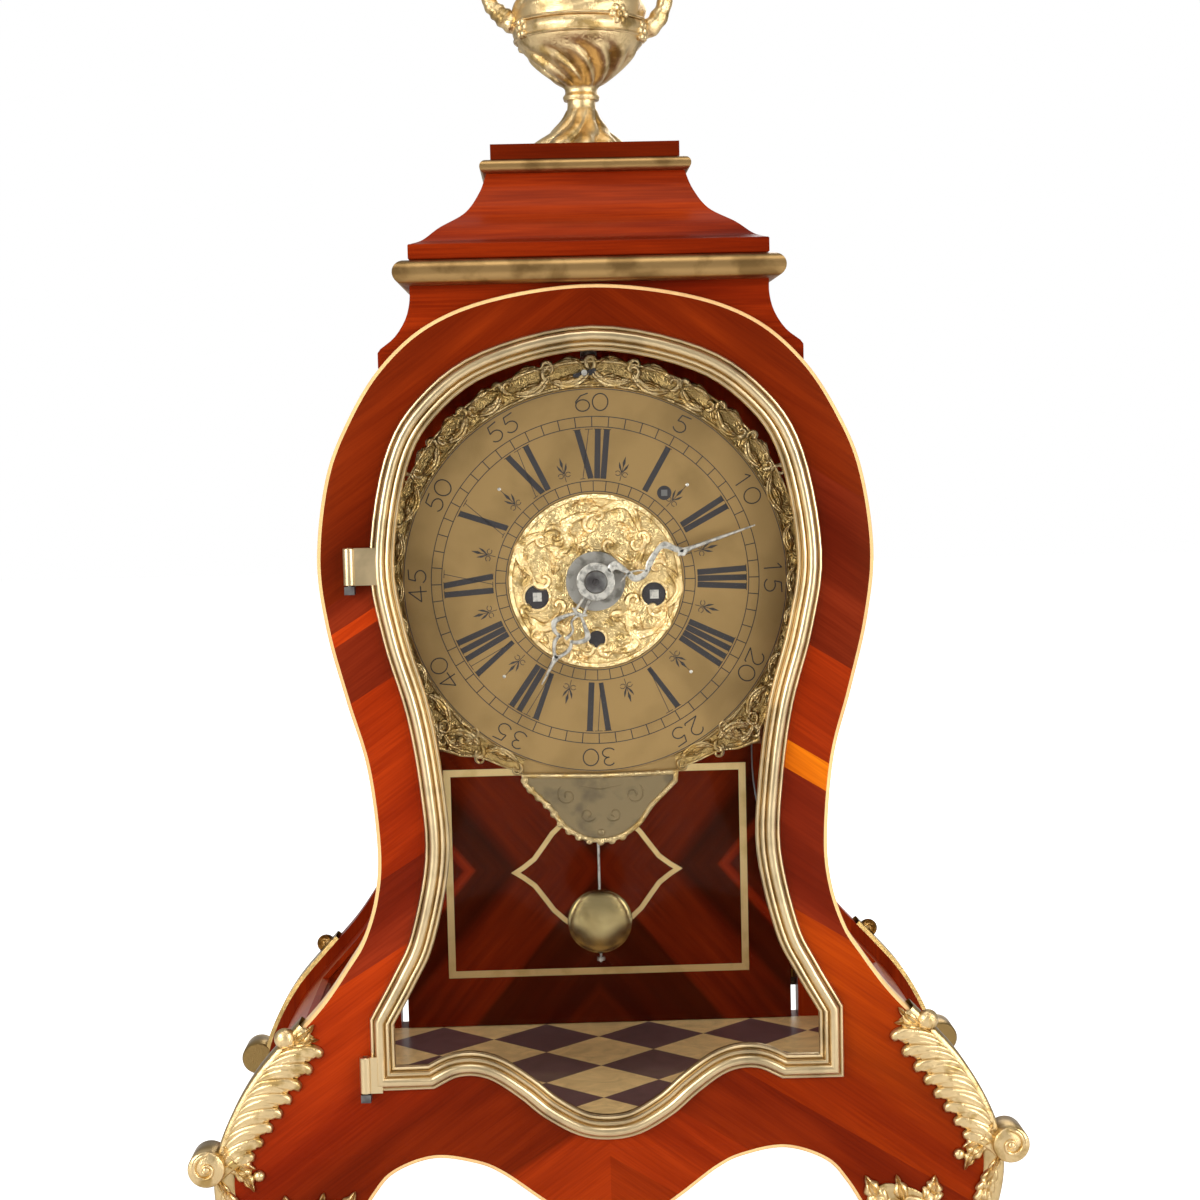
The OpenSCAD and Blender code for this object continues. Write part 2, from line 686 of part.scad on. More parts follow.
// Dial. Its front stands at dial_y, and places on it are measured from its centre.
dial_y = yf + dial_setback;
dial_c = [0, dial_z];
winding_c = [winding_x, dial_z - winding_drop];
strike_winding_c = [-winding_x, dial_z - winding_drop];
alarm_c = dial_c + [0, -30];
regulator_c = dial_c + [36.2, 44.2];
alarm_hole_r = 4.4;
regulator_hole_r = 3.7;
pipe_r = 4.5;
border_r = ring_r + border_w;
kd = border_r / 106.2;
border_lift = 6.5 * kd;
corner = [83, -85];
slot_c = dial_c + kd * [0.5, 107];
slot_pivot = dial_c + kd * [7.6, 73.8];
slot_half = 5.5;
slot_w = 3.6;
border_half = concat(
    [for (a = [90 : -6 : -18]) dial_c + [border_r * cos(a), border_lift + border_r * sin(a)]],
    [for (p = smooth([[97, -40], [90, -58], [85, -74], corner], 3)) dial_c + kd * p],
    [for (p = smooth([[72, -89], [62, -90], [50, -95], [41, -98]], 3)) dial_c + kd * p]);
cartouche_half = [for (p = smooth([[41, -98], [39.5, -105], [33, -112], [27, -118],
    [20, -127.5], [10, -134], [0, -135.8]], 3)) dial_c + kd * p];
module slot_cut(y0, y1) {
    along = slot_c - slot_pivot;
    translate([slot_c[0], y1, slot_c[1]]) rotate([90, 0, 0]) linear_extrude(y1 - y0)
        rotate(atan2(along[1], along[0]) - 90)
            translate([-slot_half, -slot_w / 2]) square([2 * slot_half, slot_w]);
}
module dial_holes(y0, y1, slack) {
    for (p = [winding_c, strike_winding_c]) rod_y(p, winding_hole_r + slack, y0, y1);
    rod_y(alarm_c, alarm_hole_r + slack, y0, y1);
    rod_y(regulator_c, regulator_hole_r + slack, y0, y1);
    rod_y(dial_c, pipe_r + gap + slack, y0, y1);
}
lever_pin_r = 1.2;
module dial_plate() {
    trim = 1;
    low = [for (i = [1 : len(cartouche_half) - 1]) cartouche_half[i]];
    half = inset(concat(border_half, low), trim);
    color("olive") difference() {
        slab_y(both(half), dial_y, dial_y + dial_t);
        dial_holes(dial_y - over, dial_y + dial_t + over, 0.4);
        slot_cut(dial_y - over, dial_y + dial_t + over);
        rod_y(slot_pivot, lever_pin_r + run, dial_y - over, dial_y + dial_t + over);
    }
}
module dial_border() {
    color("gold") difference() {
        slab_y(both(concat(border_half, [dial_c + kd * [0, -97.5]])), dial_y - border_t, dial_y);
        rod_y(dial_c, ring_r + 0.2, dial_y - border_t - over, dial_y + over);
        slot_cut(dial_y - border_t - over, dial_y + over);
    }
}
module cartouche() {
    rim = 2.6;
    rest = [for (i = [3 : len(cartouche_half) - 1]) cartouche_half[i]];
    low = concat([dial_c + kd * [0, -99.6], dial_c + kd * [40.7, -98.4]], rest);
    color("goldenrod") difference() {
        slab_y(both(low), dial_y - border_t, dial_y);
        slab_y(both(inset(low, rim)), dial_y - border_t - over, dial_y - border_t + 1.2);
    }
}
module chapter_ring() {
    color("olive") difference() {
        rod_y(dial_c, ring_r, dial_y - ring_t, dial_y);
        rod_y(dial_c, centre_r + 0.3, dial_y - ring_t - over, dial_y + over);
        rod_y(regulator_c, regulator_hole_r, dial_y - ring_t - over, dial_y + over);
    }
}
module centre_disc() {
    color("gold") difference() {
        rod_y(dial_c, centre_r, dial_y - centre_t, dial_y);
        for (p = [winding_c, strike_winding_c])
            rod_y(p, winding_hole_r, dial_y - centre_t - over, dial_y + over);
        rod_y(alarm_c, alarm_hole_r, dial_y - centre_t - over, dial_y + over);
        rod_y(dial_c, pipe_r + gap, dial_y - centre_t - over, dial_y + over);
    }
}
// Lever that silences the strike. It turns on a pin in the dial plate, and its stud stands
// at the left end of the slot.
stud_r = 1.5;
module silence_lever() {
    y0 = dial_y + dial_t + gap;
    stud = slot_c - [3.8, 0.8];
    arm = stud - slot_pivot;
    color("dimgray") {
        translate([slot_pivot[0], y0 + 1.2, slot_pivot[1]]) rotate([90, 0, 0])
            linear_extrude(1.2) rotate(atan2(arm[1], arm[0]))
                translate([-3, -2]) square([norm(arm) + 5, 4]);
        rod_y(stud, stud_r, dial_y - border_t - 1, y0);
        rod_y(slot_pivot, lever_pin_r, dial_y + 0.2, y0);
    }
}

// Hands. A hand is drawn upright as rows of distance, half width and sideways bend, and
// then turned to its place.
alarm_y = dial_y - centre_t - 2.4;
hour_y = alarm_y - 2;
minute_y = hour_y - 2.6;
function hand_half(rows, side) = [for (r = rows) [r[2] + side * r[1], r[0]]];
function hand_pts(rows) = concat(smooth(hand_half(rows, 1), 3),
    reversed(smooth(hand_half(rows, -1), 3)));
module turned(a) {
    translate([0, 0, dial_z]) rotate([0, a, 0]) children();
}
cannon_r = 3.1;
hub_r = 9.8;
minute_t = 1;
module minute_hand() {
    l = minute_l;
    color("silver") turned(minute_a) difference() {
        union() {
            slab_y(hand_pts([[8, 2.2, 0], [0.18 * l, 2.4, 1.6], [0.25 * l, 4.2, 3.4],
                [0.32 * l, 2, 0.6], [0.39 * l, 3.6, -2.4], [0.47 * l, 1.3, 0],
                [0.7 * l, 1.5, 0], [l, 0.4, 0]]), minute_y - minute_t, minute_y);
            rod_y([0, 0], hub_r, minute_y - minute_t, minute_y);
        }
        rod_y([0, 0], cannon_r, minute_y - minute_t - over, minute_y + over);
    }
}
module hour_hand() {
    l = hour_l;
    color("silver") turned(hour_a) difference() {
        union() {
            slab_y(hand_pts([[5, 2.4, 0], [0.27 * l, 2, 0], [0.35 * l, 5.6, 0],
                [0.44 * l, 6.8, 0], [0.52 * l, 3.4, 0], [0.6 * l, 6, 0], [0.69 * l, 2, 0],
                [0.75 * l, 1.4, 0], [l, 0.4, 0]]), hour_y - 1, hour_y);
            rod_y([0, 0], 7, hour_y - 1, hour_y);
        }
        rod_y([0, 0], pipe_r, hour_y - 1 - over, hour_y + over);
        for (s = [-1, 1]) rod_y([3.2 * s, 0.42 * l], 1.6, hour_y - 1 - over, hour_y + over);
    }
}
module alarm_disc() {
    color("lightgray") difference() {
        rod_y(dial_c, alarm_r, alarm_y, alarm_y + 1.4);
        rod_y(dial_c, pipe_r + run, alarm_y - over, alarm_y + 1.4 + over);
    }
}
module hand_collet() {
    color("gray") {
        difference() {
            rod_y(dial_c, 6, minute_y - minute_t - 1.6, minute_y - minute_t);
            rod_y(dial_c, arbor_r, minute_y - minute_t - 1.6 - over, minute_y);
        }
    }
}

// Movement frame. Depths inside it are measured from the inner face of the front plate.
fp_y = dial_y + dial_t + dial_gap;
in_y = fp_y + plate_t;
bp_y = in_y + plates_gap;
centre_c = dial_c;
third_c = centre_c + [12, 17.8];
escape_c = centre_c + [0, 29.2];
pallet_c = centre_c + [0, 50.1];
motion_c = centre_c + [0, 13.2];
pin_c = strike_winding_c + [6.45, sqrt(pow(norm(winding_c - centre_c), 2) - pow(6.45, 2))];
fly_c = pin_c + [8.25, 14.29];
hammer_c = centre_c + [-38, 53];
barrel_arbor_r = 3;
barrel_pivot_r = 2;
small_r = 1;
module plate(y0, holes) {
    difference() {
        box(-plates_w / 2, plates_w / 2, y0, y0 + plate_t, seat_z, seat_z + plates_h);
        for (h = holes) rod_y([h[0], h[1]], h[2] + run, y0 - over, y0 + plate_t + over);
    }
}
function hole(p, r) = [p[0], p[1], r];
shared_holes = [hole(centre_c, arbor_r), hole(third_c, small_r), hole(escape_c, small_r),
    hole(pallet_c, small_r), hole(pin_c, small_r), hole(fly_c, small_r),
    hole(hammer_c, arbor_r), hole(alarm_c, barrel_pivot_r), hole(regulator_c, arbor_r)];
click_pins = [for (s = [1, -1]) [s * (winding_x + 16), winding_c[1] + 9]];
module front_plate() {
    color("goldenrod") plate(fp_y, concat(shared_holes, [hole(motion_c, small_r),
        hole(winding_c, barrel_arbor_r), hole(strike_winding_c, barrel_arbor_r),
        hole(click_pins[0], small_r), hole(click_pins[1], small_r)]));
}
module back_plate() {
    color("goldenrod") plate(bp_y, concat(shared_holes, [hole(winding_c, barrel_pivot_r),
        hole(strike_winding_c, barrel_pivot_r)]));
}
module movement_pillars() {
    px = plates_w / 2 - 8;
    z1 = seat_z + plates_h - 8;
    z0 = seat_z + 30;
    color("goldenrod") {
        for (p = [[px, z0], [-px, z0], [px, z1], [-px, z1], [0, seat_z + 10]])
            rod_y(p, 4, in_y, bp_y);
        for (s = [-1, 1], z = [dial_z - 50, dial_z + 45]) rod_y([50 * s, z], 3, dial_y + dial_t, fp_y);
    }
}

// Toothed wheels. A tooth is a flat-sided point, and angles run from +X towards +Z.
function polar(c, r, a) = c + r * [cos(a), sin(a)];
function teeth(c, n, m, up, down, root, tip, a0) = [for (i = [0 : n - 1], k = [0 : 3])
    let (s = k < 2 ? -1 : 1, high = k == 1 || k == 2)
    polar(c, n * m / 2 + (high ? up : -down) * m,
          a0 - i * 360 / n - s * (high ? tip : root) * 360 / n)];
function wheel_teeth(c, n, m, a0) = teeth(c, n, m, 0.9, 1.1, 0.24, 0.1, a0);
function pinion_teeth(c, n, m, a0) = teeth(c, n, m, 0.6, 1.2, 0.17, 0.09, a0);
function bearing(a, b) = atan2(b[1] - a[1], b[0] - a[0]);
function module_of(a, b, n1, n2) = 2 * norm(b - a) / (n1 + n2);
function sector(c, r0, r1, a0, a1) = concat([for (i = [0 : 8]) polar(c, r1, a1 + (a0 - a1) * i / 8)],
    [for (i = [0 : 8]) polar(c, r0, a0 + (a1 - a0) * i / 8)]);
module toothed(pts, c, bore, y0, y1, window = [0, 0]) {
    arms = 4;
    translate([0, y1, 0]) rotate([90, 0, 0]) linear_extrude(y1 - y0) difference() {
        polygon(pts);
        translate(c) circle(r = bore, $fn = 12);
        if (window[1] > window[0])
            for (i = [0 : arms - 1])
                polygon(sector(c, window[0], window[1], i * 90 + 14, i * 90 + 76));
    }
}
function seat(r) = (r + run) / cos(15);
great_m = module_of(winding_c, centre_c, great_n, great_pinion_n);
centre_m = module_of(centre_c, third_c, centre_n, fast_pinion_n);
third_m = module_of(third_c, escape_c, third_n, fast_pinion_n);
pin_m = module_of(pin_c, fly_c, third_n, fast_pinion_n);
cannon_n = 12;
motion_n = 36;
motion_pinion_n = 10;
hour_n = 40;
motion_m = module_of(centre_c, motion_c, cannon_n, motion_n);
hour_m = module_of(centre_c, motion_c, motion_pinion_n, hour_n);
half_tooth = 180;

// A wheel that drives the pinion at b, and a pinion at c that is driven from a
module driving_wheel(c, b, n, m, bore, y0, y1, window = [0, 0]) {
    toothed(wheel_teeth(c, n, m, bearing(c, b) + half_tooth / n), c, bore, y0, y1, window);
}
module driven_pinion(c, a, n, m, bore, y0, y1) {
    toothed(pinion_teeth(c, n, m, bearing(c, a)), c, bore, y0, y1);
}

// Depths of the wheels, counted from the inner face of the front plate
wheel_t = 3;
thin_wheel_t = 2;
escape_wheel_t = 1.4;
going_y = in_y + 3;
strike_y = in_y + 3;
pin_wheel_y = in_y + 32;
third_wheel_y = in_y + 33;
centre_wheel_y = in_y + 39;
escape_y = in_y + 43.7;
centre_pinion_y = going_y + barrel_l - 1;
third_pinion_y = [centre_wheel_y - 1.5, centre_wheel_y + thin_wheel_t + 2];
escape_pinion_y = [third_wheel_y - 2, third_wheel_y + thin_wheel_t + 2];
fly_pinion_y = [pin_wheel_y - 1, pin_wheel_y + thin_wheel_t + 1];
module drum(c, y0) {
    difference() {
        rod_y(c, barrel_r, y0, y0 + barrel_l);
        rod_y(c, barrel_arbor_r + run, y0 - over, y0 + barrel_l + over);
    }
}
module going_barrel() {
    y1 = going_y + barrel_l;
    color("goldenrod") {
        drum(winding_c, going_y);
        driving_wheel(winding_c, centre_c, great_n, great_m, seat(barrel_arbor_r), y1, y1 + wheel_t);
    }
}
module strike_barrel() {
    color("goldenrod") {
        driving_wheel(strike_winding_c, pin_c, great_n, great_m, seat(barrel_arbor_r),
                      strike_y, strike_y + wheel_t);
        drum(strike_winding_c, strike_y + wheel_t);
    }
}

// Winding arbors, with their ratchets in front of the front plate
ratchet_n = 24;
ratchet_r = 9.5;
ratchet_y = fp_y - gap;
ratchet_t = 2;
square_w = 4.5;
module winding_arbor(c, lean) {
    ratchet = [for (i = [0 : ratchet_n - 1], k = [0, 1])
        polar(c, ratchet_r - 1.4 * k, -lean * (i + 0.12 * k) * 360 / ratchet_n)];
    tip_y = dial_y - 1.5;
    color("slategray") {
        translate([c[0] - square_w / 2, tip_y, c[1] - square_w / 2])
            cube([square_w, ratchet_y - ratchet_t - tip_y, square_w]);
        slab_y(ratchet, ratchet_y - ratchet_t, ratchet_y);
        rod_y(c, barrel_arbor_r, ratchet_y, bp_y - gap);
        rod_y(c, barrel_pivot_r, bp_y - gap, bp_y + plate_t);
    }
}
module going_arbor() {
    winding_arbor(winding_c, 1);
}
module strike_arbor() {
    winding_arbor(strike_winding_c, -1);
}
module click(pin, c) {
    nose = polar(c, ratchet_r + 0.6, bearing(c, pin) + (pin[0] > 0 ? 52 : -52));
    side = (nose - pin) / norm(nose - pin);
    across = [-side[1], side[0]];
    color("slategray") {
        slab_y([pin - 3 * side + 2 * across, nose + 0.4 * across, nose - 0.4 * across,
                pin - 3 * side - 2 * across], ratchet_y - ratchet_t, ratchet_y);
        rod_y(pin, small_r, ratchet_y, fp_y + plate_t);
    }
}
module going_click() {
    click(click_pins[0], winding_c);
}
module strike_click() {
    click(click_pins[1], strike_winding_c);
}

// Train wheels. Each arbor runs in both plates, and its wheel and pinion are fixed on it.
module centre_wheel() {
    cannon_y1 = fp_y - 0.8;
    cannon_l = 3;
    color("goldenrod") {
        rod_y(centre_c, arbor_r, minute_y - minute_t - 1.6, bp_y + plate_t);
        driven_pinion(centre_c, winding_c, great_pinion_n, great_m, seat(arbor_r),
                      centre_pinion_y, centre_pinion_y + wheel_t + 2);
        driving_wheel(centre_c, third_c, centre_n, centre_m, seat(arbor_r),
                      centre_wheel_y, centre_wheel_y + thin_wheel_t, [5, 16]);
        difference() {
            rod_y(centre_c, cannon_r, minute_y - minute_t, cannon_y1 - cannon_l);
            rod_y(centre_c, arbor_r + run, minute_y - 2 * over, cannon_y1);
        }
        toothed(pinion_teeth(centre_c, cannon_n, motion_m, bearing(centre_c, motion_c)),
                centre_c, seat(arbor_r), cannon_y1 - cannon_l, cannon_y1);
    }
}
motion_wheel_y = fp_y - 3.4;
hour_wheel_y = fp_y - 6.6;
module motion_wheel() {
    a = bearing(motion_c, centre_c);
    color("goldenrod") {
        toothed(wheel_teeth(motion_c, motion_n, motion_m, a + half_tooth / motion_n),
                motion_c, seat(small_r), motion_wheel_y, motion_wheel_y + 1.2, [3, 8]);
        toothed(pinion_teeth(motion_c, motion_pinion_n, hour_m, a), motion_c, seat(small_r),
                hour_wheel_y - 0.3, motion_wheel_y);
        rod_y(motion_c, small_r, hour_wheel_y - 0.3, fp_y + plate_t);
    }
}
module hour_wheel() {
    a = bearing(centre_c, motion_c);
    color("goldenrod") {
        toothed(wheel_teeth(centre_c, hour_n, hour_m, a + half_tooth / hour_n), centre_c,
                seat(pipe_r), hour_wheel_y, hour_wheel_y + 1.4);
        difference() {
            rod_y(centre_c, pipe_r, hour_y - 1, hour_wheel_y + 1.4);
            rod_y(centre_c, cannon_r + run, hour_y - 1 - over, hour_wheel_y + 1.4 + over);
        }
    }
}
// Arbor of a fast pinion, thinner where the pinion sits between y0 and y1
neck_r = 0.6;
module plain_arbor(c) {
    rod_y(c, small_r, fp_y, bp_y + plate_t);
}
module necked_arbor(c, y0, y1) {
    slack = 0.1;
    rod_y(c, small_r, fp_y, y0 - slack);
    rod_y(c, neck_r, y0 - slack, y1 + slack);
    rod_y(c, small_r, y1 + slack, bp_y + plate_t);
}
module third_wheel() {
    color("goldenrod") {
        driving_wheel(third_c, escape_c, third_n, third_m, seat(small_r),
                      third_wheel_y, third_wheel_y + thin_wheel_t, [4, 12.5]);
        driven_pinion(third_c, centre_c, fast_pinion_n, centre_m, seat(neck_r),
                      third_pinion_y[0], third_pinion_y[1]);
        necked_arbor(third_c, third_pinion_y[0], third_pinion_y[1]);
    }
}
module escape_wheel() {
    pts = [for (i = [0 : escape_n - 1], k = [0 : 2])
        polar(escape_c, k == 1 ? escape_r : escape_r - 2.2, -(i + [0, 0.12, 0.3][k]) * 360 / escape_n)];
    color("goldenrod") {
        toothed(pts, escape_c, seat(small_r), escape_y, escape_y + escape_wheel_t, [3, 7.6]);
        driven_pinion(escape_c, third_c, fast_pinion_n, third_m, seat(neck_r),
                      escape_pinion_y[0], escape_pinion_y[1]);
        necked_arbor(escape_c, escape_pinion_y[0], escape_pinion_y[1]);
    }
}
// Anchor with its arbor and the crutch behind the back plate, whose fork holds the rod
pendulum_y = yf + pendulum_setback;
crutch_z = pallet_c[1] - 35;
module pallets() {
    nib = escape_r + 1.3;
    half = [[0, 4.5], [5, 3.2], [11.6, -9.8], [nib * 0.62, nib * 0.8 - 20.9],
            [7.4, -8.2], [3, -3], [0, -2.6]];
    crutch_y = bp_y + plate_t + 9;
    color("slategray") {
        translate([pallet_c[0], 0, pallet_c[1]]) difference() {
            slab_y(both(half), escape_y - 0.8, escape_y + escape_wheel_t + 0.8);
            rod_y([0, 0], small_r, escape_y - 2, escape_y + 4);
        }
        rod_y(pallet_c, small_r, fp_y, crutch_y + 2);
        difference() {
            box(-1.5, 1.5, crutch_y, crutch_y + 1.2, crutch_z - 2, pallet_c[1] + 3);
            rod_y(pallet_c, small_r, crutch_y - over, crutch_y + 2 * over);
        }
        for (s = [-1, 1]) {
            x = s * (rod_r + 0.3);
            box(min(x, x + s), max(x, x + s), crutch_y + 1.2, pendulum_y + 3,
                crutch_z - 2, crutch_z + 2);
        }
    }
}
cock_pin_r = 1;
module suspension_cock() {
    z = pallet_c[1];
    y = bp_y + plate_t;
    top = z + 13;
    color("goldenrod") {
        difference() {
            union() {
                box(-9, 9, y, y + 3, z - 10, top);
                box(-5, 5, y, pendulum_y + 7, z + 7, top);
                for (d = [-7, 4]) box(-4, 4, pendulum_y + d, pendulum_y + d + 3, z - 4, z + 7);
            }
            rod_y(pallet_c, small_r + run, y - over, y + 3 + over);
            rod_y(pallet_c, cock_pin_r, pendulum_y - 8, pendulum_y + 8);
        }
        rod_y(pallet_c, cock_pin_r, pendulum_y - 7, pendulum_y + 7);
    }
}

// Pendulum: its rod is screwed into the top of the bob, and a short end of it stands out
// below with the rating nut
bob_z = pallet_c[1] - pendulum_l;
module pendulum_rod() {
    z = pallet_c[1];
    end_l = 5;
    color("silver") {
        difference() {
            box(-3, 3, pendulum_y - 3, pendulum_y + 3, z - 5, z + 4);
            rod_y(pallet_c, cock_pin_r + run, pendulum_y - 4, pendulum_y + 4);
        }
        translate([0, pendulum_y, bob_z + bob_r]) cylinder(r = rod_r, h = z - 5 - bob_z - bob_r);
        translate([0, pendulum_y, bob_z - bob_r - end_l]) cylinder(r = rod_r, h = end_l);
        translate([0, pendulum_y, bob_z - bob_r - end_l + 1]) cylinder(r = 3 * rod_r, h = 2);
    }
}
module pendulum_bob() {
    lens = [for (a = [90 : -10 : -90]) [bob_r * cos(a), bob_t / 2 * sin(a)]];
    color("goldenrod") translate([0, pendulum_y, bob_z]) rotate([90, 0, 0])
        rotate_extrude() polygon(lens);
}

// Strike train
module pin_wheel() {
    pins = 8;
    pin_ring_r = 12;
    pin_l = 3;
    rear = pin_wheel_y + thin_wheel_t;
    color("goldenrod") {
        driving_wheel(pin_c, fly_c, third_n, pin_m, seat(small_r), pin_wheel_y, rear, [4, 10.5]);
        driven_pinion(pin_c, strike_winding_c, great_pinion_n, great_m, seat(small_r),
                      strike_y - 1, strike_y + wheel_t + 1);
        plain_arbor(pin_c);
        for (i = [0 : pins - 1])
            rod_y(polar(pin_c, pin_ring_r, i * 360 / pins), 0.6, rear, rear + pin_l, $fn = 8);
    }
}
module fly() {
    vane = 11;
    vane_l = 8;
    vane_y = in_y + 19;
    color("goldenrod") {
        driven_pinion(fly_c, pin_c, fast_pinion_n, pin_m, seat(neck_r), fly_pinion_y[0], fly_pinion_y[1]);
        necked_arbor(fly_c, fly_pinion_y[0], fly_pinion_y[1]);
        translate([fly_c[0], 0, fly_c[1]]) difference() {
            box(-vane, vane, vane_y, vane_y + vane_l, -1.3, 1.3);
            rod_y([0, 0], small_r, vane_y - over, vane_y + vane_l + over);
        }
    }
}
bell_y = in_y + 21;
bell_z = dial_z + 92;
module hammer() {
    head_x = -bell_r - 1.2;
    head_z = bell_z + 3;
    tail = pin_c + [-8, 11.3];
    color("slategray") {
        rod_y(hammer_c, arbor_r, fp_y, bp_y + plate_t);
        box(hammer_c[0] - 2, hammer_c[0] + 2, bell_y - 1.5, bell_y + 1.5, hammer_c[1] - 3, head_z + 4);
        slab_y([hammer_c + [-2, 2], hammer_c + [2, 2], tail + [0.6, 0.4], tail + [-0.8, -0.4]],
               pin_wheel_y + 2.4, pin_wheel_y + 4.6);
        translate([hammer_c[0] + 2, bell_y, head_z]) rotate([0, 90, 0])
            cylinder(r = 4, h = head_x - hammer_c[0] - 2);
    }
}
module bell() {
    wall = 1.6;
    h = 22;
    outer = smooth([[bell_r, 0], [bell_r - 0.8, 4], [bell_r - 3, 12], [bell_r - 9, 18.5],
        [bell_r - 17, h - 0.4], [3, h]], 3);
    color("darkgoldenrod") translate([0, bell_y, bell_z])
        rotate_extrude() polygon(concat(outer, [[3, h - wall]],
            [for (i = [len(outer) - 2 : -1 : 0]) [max(3, outer[i][0] - wall),
                max(0, outer[i][1] - wall)]]));
}
module bell_stand() {
    top = bell_z + 27;
    color("slategray") {
        box(-4, 4, bp_y, bp_y + plate_t, seat_z + plates_h, top);
        box(-4, 4, bell_y - 4, bp_y, top - 4, top);
        translate([0, bell_y, bell_z + 19]) cylinder(r = 2.8, h = top - 4 - bell_z - 19);
    }
}

// Small arbors with squares for a key: the alarm below the centre, the regulator above
module square_arbor(c, r, w) {
    tip_y = dial_y - 0.5;
    color("slategray") {
        translate([c[0] - w / 2, tip_y, c[1] - w / 2]) cube([w, fp_y - 2 - tip_y, w]);
        rod_y(c, r, fp_y - 2, bp_y + plate_t);
    }
}
module alarm_arbor() {
    square_arbor(alarm_c, barrel_pivot_r, 3.5);
}
module regulator_arbor() {
    square_arbor(regulator_c, arbor_r, 2.6);
}

front_board();
rear_board();
side_walls();
side_glasses();
bottom_board();
floor_parquet();
hood();
roof_mouldings();
roof();
roof_cap();
finial_foot();
finial_urn();
edge_stringing();
knee_mounts();
foot_mounts();
door_frame();
door_glass();
door_glass_bead();
hinge_pins();
door_catch();
back_panel();
back_inlay();
back_hinge_knuckles();
back_knob();
seat_board();
dial_plate();
dial_border();
chapter_ring();
centre_disc();
cartouche();
silence_lever();
minute_hand();
hour_hand();
alarm_disc();
hand_collet();
front_plate();
back_plate();
movement_pillars();
going_barrel();
strike_barrel();
going_arbor();
strike_arbor();
going_click();
strike_click();
centre_wheel();
motion_wheel();
hour_wheel();
third_wheel();
escape_wheel();
pallets();
suspension_cock();
pendulum_rod();
pendulum_bob();
pin_wheel();
fly();
hammer();
bell();
bell_stand();
alarm_arbor();
regulator_arbor();
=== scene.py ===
"""Looks of a waisted bracket clock: veneered case, gilt mounts, brass dial and pendulum.

Sizes are in millimetres in the frame of the CAD model: X to the right, Y from front to
back, Z up, with the origin on the ground under the middle of the case.
"""

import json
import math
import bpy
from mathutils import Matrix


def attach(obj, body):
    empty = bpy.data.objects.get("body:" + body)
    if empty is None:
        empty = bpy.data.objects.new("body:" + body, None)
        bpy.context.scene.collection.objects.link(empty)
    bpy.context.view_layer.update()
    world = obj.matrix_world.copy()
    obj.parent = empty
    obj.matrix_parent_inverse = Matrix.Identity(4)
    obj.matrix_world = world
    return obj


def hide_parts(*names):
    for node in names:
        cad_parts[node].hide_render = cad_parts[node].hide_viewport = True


bl_info = {
    "name": "Waisted bracket clock",
    "version": (1, 0, 0),
    "blender": (4, 5, 0),
    "location": "View3D > Sidebar > Clock",
    "description": "Builds the looks of a veneered bracket clock around its CAD model",
    "category": "Add Mesh",
}

import bmesh
import bpy
import numpy as np
from bpy.props import FloatProperty, FloatVectorProperty, IntProperty, PointerProperty
from mathutils import Matrix, Vector
from mathutils.geometry import tessellate_polygon

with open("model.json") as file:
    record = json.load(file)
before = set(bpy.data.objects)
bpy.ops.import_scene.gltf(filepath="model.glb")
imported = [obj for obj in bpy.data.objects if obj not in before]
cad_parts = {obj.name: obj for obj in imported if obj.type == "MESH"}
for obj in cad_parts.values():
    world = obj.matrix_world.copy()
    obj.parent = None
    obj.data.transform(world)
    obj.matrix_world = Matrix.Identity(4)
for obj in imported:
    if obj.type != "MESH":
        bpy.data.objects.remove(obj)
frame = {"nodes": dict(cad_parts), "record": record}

MM = 0.001
FRONT = -100.0
FRONT_IN = -86.0
DIAL_Y = -70.0
DIAL_Z = 377.0

OUTER = [(0, 526), (46.9, 520.4), (80.8, 507.8), (105.2, 486.8), (122.3, 460.2),
         (133.5, 432), (138.9, 392), (135.2, 357), (126.6, 321.7), (117.4, 287.6),
         (113.5, 247.6), (115.4, 222.6), (122.2, 200.8), (130.9, 186.6), (144.3, 167.8),
         (162, 148.5), (178, 130), (190, 110), (197.5, 90), (199, 70), (194, 48),
         (185, 28), (178, 14), (176, 4)]
APRON = [(150, 4), (149, 14), (142, 32), (131, 50), (120.5, 67.6), (109.7, 79.4),
         (89.7, 86.3), (68.9, 83.2), (54.9, 76.9), (34.7, 62), (17, 50.5), (0, 46)]
DOOR = [(0, 505.8), (54.4, 494.2), (86.8, 471.3), (104.3, 441.6), (112.9, 391.5),
        (107.5, 352.5), (97, 314), (91.3, 276), (89.8, 241.5), (97.8, 203.5),
        (106.5, 184.5), (120, 160.4)]
SILL = [(88.3, 123.2), (75.1, 129.1), (61.1, 127.5), (46, 117.5), (33.1, 106.6),
        (16, 96.9), (0, 94.2)]
DOOR_CORNER = (120, 123)
CASE_Z0 = 4.0
JOINT_TOP = 640
JOINT_SLOPE = 0.62
BACK_CENTRE = 196.0
HINGE_X, KNUCKLE = -122.5, 18.5
REGULATOR = (36.2, DIAL_Z + 44.2)

# Layers of wood grain: scales along and across it, detail, and shares of the dark and light
GRAIN = (((5, 24), 2, 0.66, 1.22), ((7, 110), 3, 0.8, 1.12), ((30, 900), 2, 0.86, 1.08))
# Tones across the grain of the quartered back: over a span, from so far before 0, in metres
QUARTER_START, QUARTER_SPAN = 0.08, 0.14
QUARTER_STRIPES = [(0, 0.8), (0.13, 0.8), (0.145, 2.4), (0.17, 2.2), (0.185, 0.5), (0.30, 0.55),
                   (0.33, 1.2), (0.58, 1.4), (0.6, 0.45), (0.72, 0.5), (1, 1.0)]


# Curves

